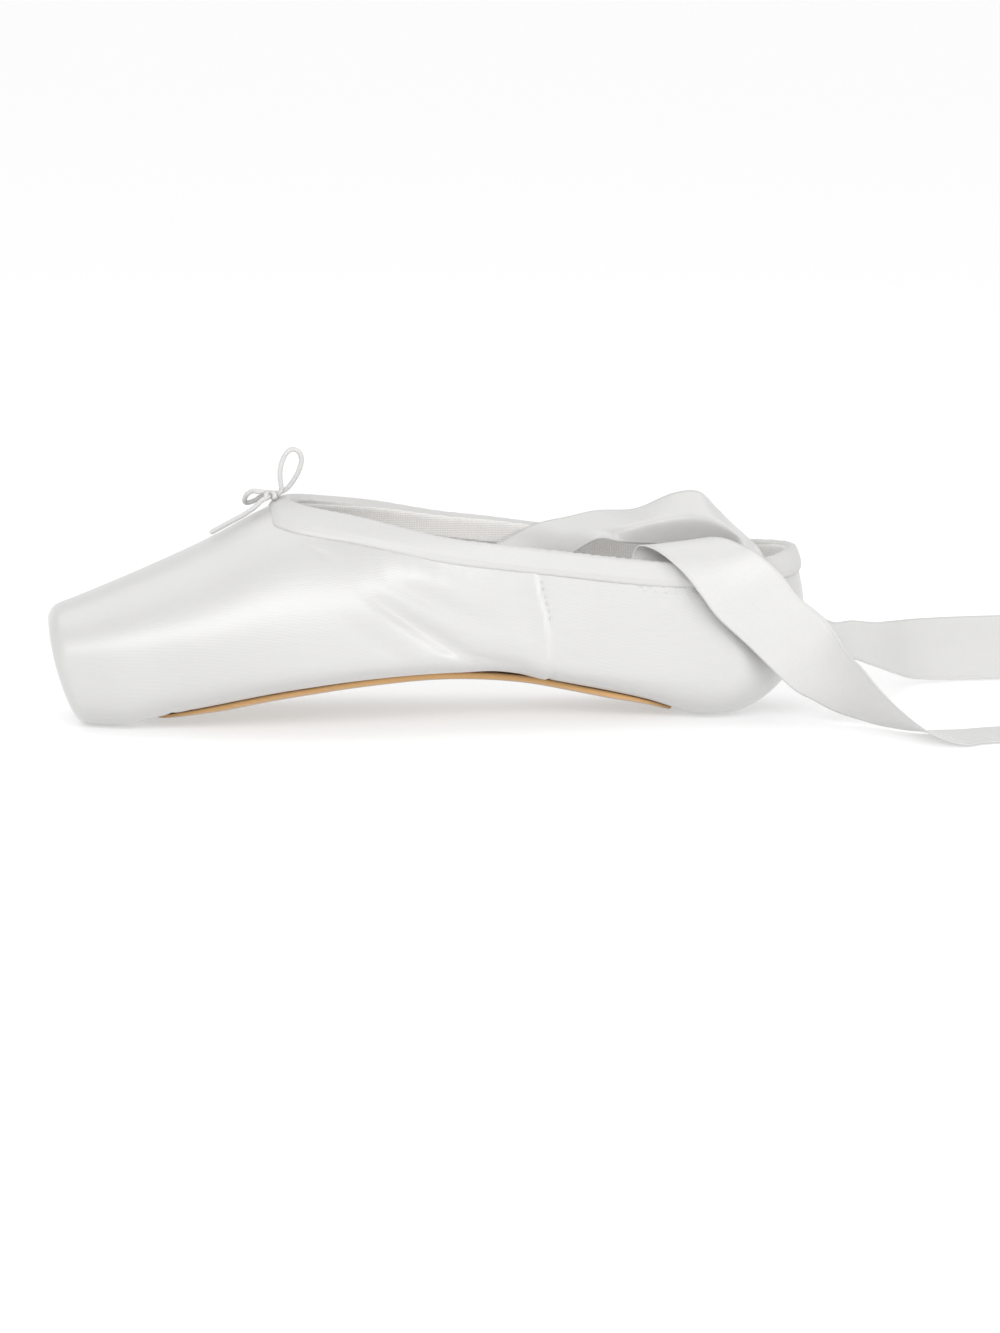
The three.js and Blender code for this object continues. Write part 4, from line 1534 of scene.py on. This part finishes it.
@dataclass(frozen=True)
class RibbonFinish:
    """Satin ribbon: threads across and along it, and two woven edges."""

    name: str
    light: Colour = (0.60, 0.597, 0.59, 1)
    shade: Colour = (0.53, 0.527, 0.52, 1)
    roughness: float = 0.34

    def material(self) -> bpy.types.Material:
        """The finish on the ribbon's own UV map: u across from 0 to 1, v along in millimetres.

        Returns:
            The material.
        """
        graph = Graph(self.name)
        uv = graph.coordinates("UV")
        split = graph.node("ShaderNodeSeparateXYZ", {}, {"Vector": uv})
        across = graph.wire(split, "X")
        edge = (across - 0.5).math("ABSOLUTE").math("SUBTRACT", 0.455).math("MULTIPLY", 60.0)
        edge = edge.math("MINIMUM", 1.0).math("MAXIMUM", 0.0)
        weft = graph.waves(graph.stretched(uv, (0.0, 1.0, 1.0)), 0.55, "Y", 0.3)
        streak = graph.noise(graph.stretched(uv, (90.0, 0.05, 1.0)), 1.0, 2)
        cloud = graph.noise(graph.stretched(uv, (2.0, 0.06, 1.0)), 1.0, 3)
        tone = graph.blend(streak * 0.35 + cloud * 0.5, self.shade, self.light)
        tone = graph.blend(edge * 0.35, tone, self.shade)
        ribs = graph.bump(weft, 0.00004, 0.5)
        body = graph.bump(edge + streak * 0.3, 0.00012, 0.6, ribs)
        graph.feed(
            Base_Color=tone,
            Roughness=edge * 0.18 + self.roughness + cloud * 0.06,
            Normal=body,
            Sheen_Weight=0.15,
            Sheen_Roughness=0.4,
            Coat_Weight=0.2,
            Coat_Roughness=0.32,
        )
        return graph.material


@dataclass(frozen=True)
class CanvasFinish:
    """Off-white cotton: a plain weave with soft, uneven threads, and, where glow is set, a painted glow
    that stands in for light falling inside the shoe.
    """

    name: str
    light: Colour = (0.60, 0.59, 0.577, 1)
    shade: Colour = (0.52, 0.51, 0.497, 1)
    # painted light: the glow's emission stands in for light falling inside the shoe
    glow: float = 0.0

    def material(self) -> bpy.types.Material:
        """The finish on Object coordinates.

        Returns:
            The material.
        """
        graph = Graph(self.name)
        place = graph.coordinates()
        warp = graph.waves(place, 420, "X", 0.8)
        weft = graph.waves(place, 420, "Z", 0.8)
        weave = warp * weft
        cloud = graph.noise(place, 60, 4)
        tone = graph.blend(cloud * 0.7 + weave * 0.3, self.shade, self.light)
        rough = graph.bump(weave, 0.00018, 0.7)
        graph.feed(
            Base_Color=tone,
            Roughness=0.86,
            Normal=graph.bump(cloud, 0.0006, 0.4, rough),
            Sheen_Weight=0.25,
            # painted light: emission in the cloth's own colour, as strong as glow
            Emission_Color=tone,
            Emission_Strength=self.glow,
        )
        return graph.material


@dataclass(frozen=True)
class ElasticFinish:
    """Thin braided elastic: crossing strands round the cord."""

    name: str
    light: Colour = (0.68, 0.675, 0.665, 1)
    shade: Colour = (0.46, 0.455, 0.45, 1)

    def material(self) -> bpy.types.Material:
        """The finish on the cord's UV map: u round it from 0 to 1, v along in millimetres.

        Returns:
            The material.
        """
        graph = Graph(self.name)
        uv = graph.coordinates("UV")
        one = graph.waves(graph.stretched(uv, (6.283, 2.2, 1.0)), 0.5, "DIAGONAL")
        two = graph.waves(graph.stretched(uv, (-6.283, 2.2, 1.0)), 0.5, "DIAGONAL")
        braid = one.math("MAXIMUM", two)
        tone = graph.blend(braid, self.shade, self.light)
        strands = graph.bump(braid, 0.00015, 0.8)
        graph.feed(Base_Color=tone, Roughness=0.75, Normal=strands, Sheen_Weight=0.2)
        return graph.material


@dataclass(frozen=True)
class LeatherFinish:
    """Tan split leather: fine nap, cloudy colour, and a greyer tread on faces that look down, which keeps
    the tan out of the light bounced onto the floor.
    """

    name: str
    light: Colour = (0.66, 0.40, 0.17, 1)
    shade: Colour = (0.50, 0.27, 0.10, 1)
    # grey of the faces that look down, set so that less tan light bounces onto the floor
    downward_grey: Colour = (0.42, 0.36, 0.30, 1)

    def material(self) -> bpy.types.Material:
        """The finish on Object coordinates.

        Returns:
            The material.
        """
        graph = Graph(self.name)
        place = graph.coordinates()
        cloud = graph.noise(place, 45, 5, 0.6)
        grain = graph.noise(place, 1500, 3, 0.6)
        scratch = graph.noise(graph.stretched(place, (60, 900, 60)), 1.0, 3)
        tone = graph.blend(cloud * 0.7 + grain * 0.3, self.shade, self.light)
        nap = graph.bump(grain, 0.00025, 0.6)
        facing = graph.node("ShaderNodeSeparateXYZ", {}, {"Vector": graph.coordinates("Normal")})
        # faces that look down turn grey, so that less tan light bounces onto the floor
        tread = (graph.wire(facing, "Z") * -1.4 - 0.35).math("MAXIMUM", 0.0).math("MINIMUM", 1.0)
        tone = graph.blend(tread, tone, self.downward_grey)
        graph.feed(
            Base_Color=tone,
            Roughness=cloud * 0.15 + 0.58,
            Normal=graph.bump(scratch, 0.0002, 0.4, nap),
            Sheen_Weight=0.1,
        )
        return graph.material


@dataclass(frozen=True)
class ThreadFinish:
    """White sewing thread with a light twist."""

    name: str
    colour: Colour = (0.70, 0.70, 0.69, 1)

    def material(self) -> bpy.types.Material:
        """The finish on Object coordinates.

        Returns:
            The material.
        """
        graph = Graph(self.name)
        fibre = graph.noise(graph.coordinates(), 3000, 2)
        tone = graph.blend(fibre, (0.55, 0.55, 0.54, 1), self.colour)
        graph.feed(Base_Color=tone, Roughness=0.6, Normal=graph.bump(fibre, 0.0001, 0.5))
        return graph.material


@dataclass
class Studio:
    """White floor and surround, soft lights and the camera at the photograph's angle."""

    photo_height: int = 1333
    scale: float = 0.311
    distance: float = 1500.0
    elevation: float = 10.5
    turn: float = 5.7
    target: tuple[float, float, float] = (140.0, 0.0, 14.1)

    def camera(self) -> None:
        """The camera: a long lens from the near side, a little above and towards the toe."""
        tall = self.photo_height * self.scale
        data = bpy.data.cameras.new("studio_camera")
        data.sensor_width = 36.0
        data.lens = data.sensor_width * self.distance / tall
        data.clip_end = 20.0
        up = math.radians(self.elevation)
        round_by = math.radians(self.turn)
        level = math.cos(up)
        back = Vector((-math.sin(round_by) * level, -math.cos(round_by) * level, math.sin(up)))
        middle = (Vector(self.target) - Vector((ORIGIN_X, 0, 0))) * MM
        thing = bpy.data.objects.new("studio_camera", data)
        thing.location = middle + back * self.distance * MM
        thing.rotation_mode = "QUATERNION"
        thing.rotation_quaternion = (-back).to_track_quat("-Z", "Y")
        bpy.context.scene.collection.objects.link(thing)
        bpy.context.scene.camera = thing

    def floor(self) -> None:
        """One wide, flat white sheet under the shoe, with a faint glow of its own."""
        mesh = bpy.data.meshes.new("studio_floor")
        work = bmesh.new()
        bmesh.ops.create_grid(work, x_segments=1, y_segments=1, size=12.0)
        work.to_mesh(mesh)
        work.free()
        thing = bpy.data.objects.new("studio_floor", mesh)
        thing.location = (0, 0, -0.0002)
        graph = Graph("studio_white")
        graph.feed(Base_Color=(0.62, 0.62, 0.62, 1), Roughness=0.9, Specular_IOR_Level=0.1)
        graph.feed(Emission_Color=(1, 1, 1, 1), Emission_Strength=0.40)
        mesh.materials.append(graph.material)
        bpy.context.scene.collection.objects.link(thing)

    def surround(self) -> None:
        """A white surround, bright near the horizon and darker overhead."""
        world = bpy.data.worlds.new("studio_world")
        world.use_nodes = True
        tree = world.node_tree
        place = tree.nodes.new("ShaderNodeTexCoord")
        split = tree.nodes.new("ShaderNodeSeparateXYZ")
        ramp = tree.nodes.new("ShaderNodeMapRange")
        for name, value in {"From Min": 0.0, "From Max": 1.0, "To Min": 1.0, "To Max": 0.42}.items():
            ramp.inputs[name].default_value = value
        tree.links.new(place.outputs["Generated"], split.inputs[0])
        tree.links.new(split.outputs["Z"], ramp.inputs["Value"])
        tree.links.new(ramp.outputs[0], tree.nodes["Background"].inputs["Strength"])
        tree.nodes["Background"].inputs["Color"].default_value = (1, 1, 1, 1)
        bpy.context.scene.world = world

    def area(self, name: str, place: tuple, size: tuple[float, float], power: float) -> None:
        """One long soft light that faces the middle of the shoe.

        Args:
            name: the light's name.
            place: its middle, in metres.
            size: its two sides, in metres.
            power: in watts.
        """
        data = bpy.data.lights.new(name, "AREA")
        data.shape = "RECTANGLE"
        data.size, data.size_y = size
        data.energy = power
        thing = bpy.data.objects.new(name, data)
        thing.location = place
        way = Vector((0, 0, 0.03)) - Vector(place)
        thing.rotation_mode = "QUATERNION"
        thing.rotation_quaternion = way.to_track_quat("-Z", "Y")
        bpy.context.scene.collection.objects.link(thing)

    def sun(self, name: str, way: tuple, power: float, spread: float) -> None:
        """One distant light with a wide disc.

        Args:
            name: the light's name.
            way: direction towards the light.
            power: its strength.
            spread: width of the disc, in degrees.
        """
        data = bpy.data.lights.new(name, "SUN")
        data.energy = power
        data.angle = math.radians(spread)
        thing = bpy.data.objects.new(name, data)
        thing.location = Vector(way)
        thing.rotation_mode = "QUATERNION"
        thing.rotation_quaternion = (-Vector(way)).to_track_quat("-Z", "Y")
        bpy.context.scene.collection.objects.link(thing)

    def lights(self) -> None:
        """A high sun from behind, a long strip on the near left and a low fill from the near right."""
        self.surround()
        self.sun("high_sun", (-0.15, 0.35, 0.92), 1.0, 60)
        self.area("strip_light", (-0.3, -1.05, 0.66), (1.5, 0.34), 8.8)
        self.area("fill_light", (0.95, -0.8, 0.16), (0.7, 0.28), 4.2)
        scene = bpy.context.scene
        scene.view_settings.view_transform = "Standard"
        scene.view_settings.look = "None"
        scene.view_settings.exposure = 0.0


def dress(
    thing: bpy.types.Object,
    material: bpy.types.Material,
    lining: bpy.types.Material | None = None,
) -> None:
    """Gives a piece its materials and its body, and reports it.

    Args:
        thing: the piece.
        material: the finish of its outer faces.
        lining: the finish of its inner faces, or None.
    """
    thing.data.materials.append(material)
    if lining is not None:
        thing.data.materials.append(lining)
    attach(thing, "root")
    log.info("%s: %d faces", thing.name, len(thing.data.polygons))


def main() -> None:
    """Builds the studio and then each piece in order."""
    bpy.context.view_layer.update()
    studio = Studio()
    studio.camera()
    studio.floor()
    studio.lights()

    last = Last()
    satin = SatinFinish("upper_satin").material()
    casing_satin = SatinFinish(
        "casing_satin", (0.56, 0.556, 0.548, 1), (0.50, 0.497, 0.49, 1), roughness=0.55, coat=0.1
    ).material()
    thread = ThreadFinish("sewing_thread").material()

    upper_maker = Upper(last)
    upper = upper_maker.build()
    # the lining's glow is painted light: it lights the inside of the upper and of the casing in place of
    # light reaching there
    lining = CanvasFinish("lining_cotton_painted_glow", glow=0.34).material()
    dress(upper, satin, lining)
    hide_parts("upper")

    casing = Casing(last, upper_maker).build()
    dress(casing, casing_satin, lining)
    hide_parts("collar_binding")

    sole = SoleSheet(
        last, "leather_outsole", SOLE_OUTLINE, width=47, start=30, end=196, inset=0.0, gap=SOLE_SEAM,
        thick=SOLE_THICK + SHEET_GAP - SOLE_SEAM, end_thick=SOLE_EDGE_THICK, upward=False,
    ).build()
    dress(sole, LeatherFinish("tan_leather").material())
    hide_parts("outsole")

    sock = SoleSheet(
        last, "cotton_insole", INSOLE_OUTLINE, width=50, start=22, end=217, inset=UPPER_WALL, gap=SHEET_GAP,
        thick=INSOLE_THICK, end_thick=INSOLE_THICK, upward=True, rows=90, across=20,
    ).build()
    dress(sock, CanvasFinish("sock_cotton").material())
    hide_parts("insole")

    bow = Bow()
    cord, wraps, route = bow.build()
    elastic = ElasticFinish("braided_elastic").material()
    for piece in (cord, wraps):
        dress(piece, elastic)
    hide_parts("drawstring_loop_up", "drawstring_loop_flat", "drawstring_tail")
    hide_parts("drawstring_knot")
    metres = (route - np.array([ORIGIN_X, 0, 0])) * MM
    tuple(metres[0])
    bow.diameter * MM

    ribbon_satin = RibbonFinish("ribbon_satin").material()
    near = Ribbon("satin_ribbon_near", "ribbon_near", RIBBON_NEAR_ROWS, seed=2)
    far = Ribbon("satin_ribbon_far", "ribbon_far", RIBBON_FAR_ROWS, seed=6)
    for ribbon in (near, far):
        piece = ribbon.build()
        dress(piece, ribbon_satin)
        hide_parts(ribbon.node)

    stitching = Stitching(last)
    for piece in (stitching.build_side_seams(), stitching.build_ribbon_roots()):
        dress(piece, thread)


if __name__ == "__main__":
    main()
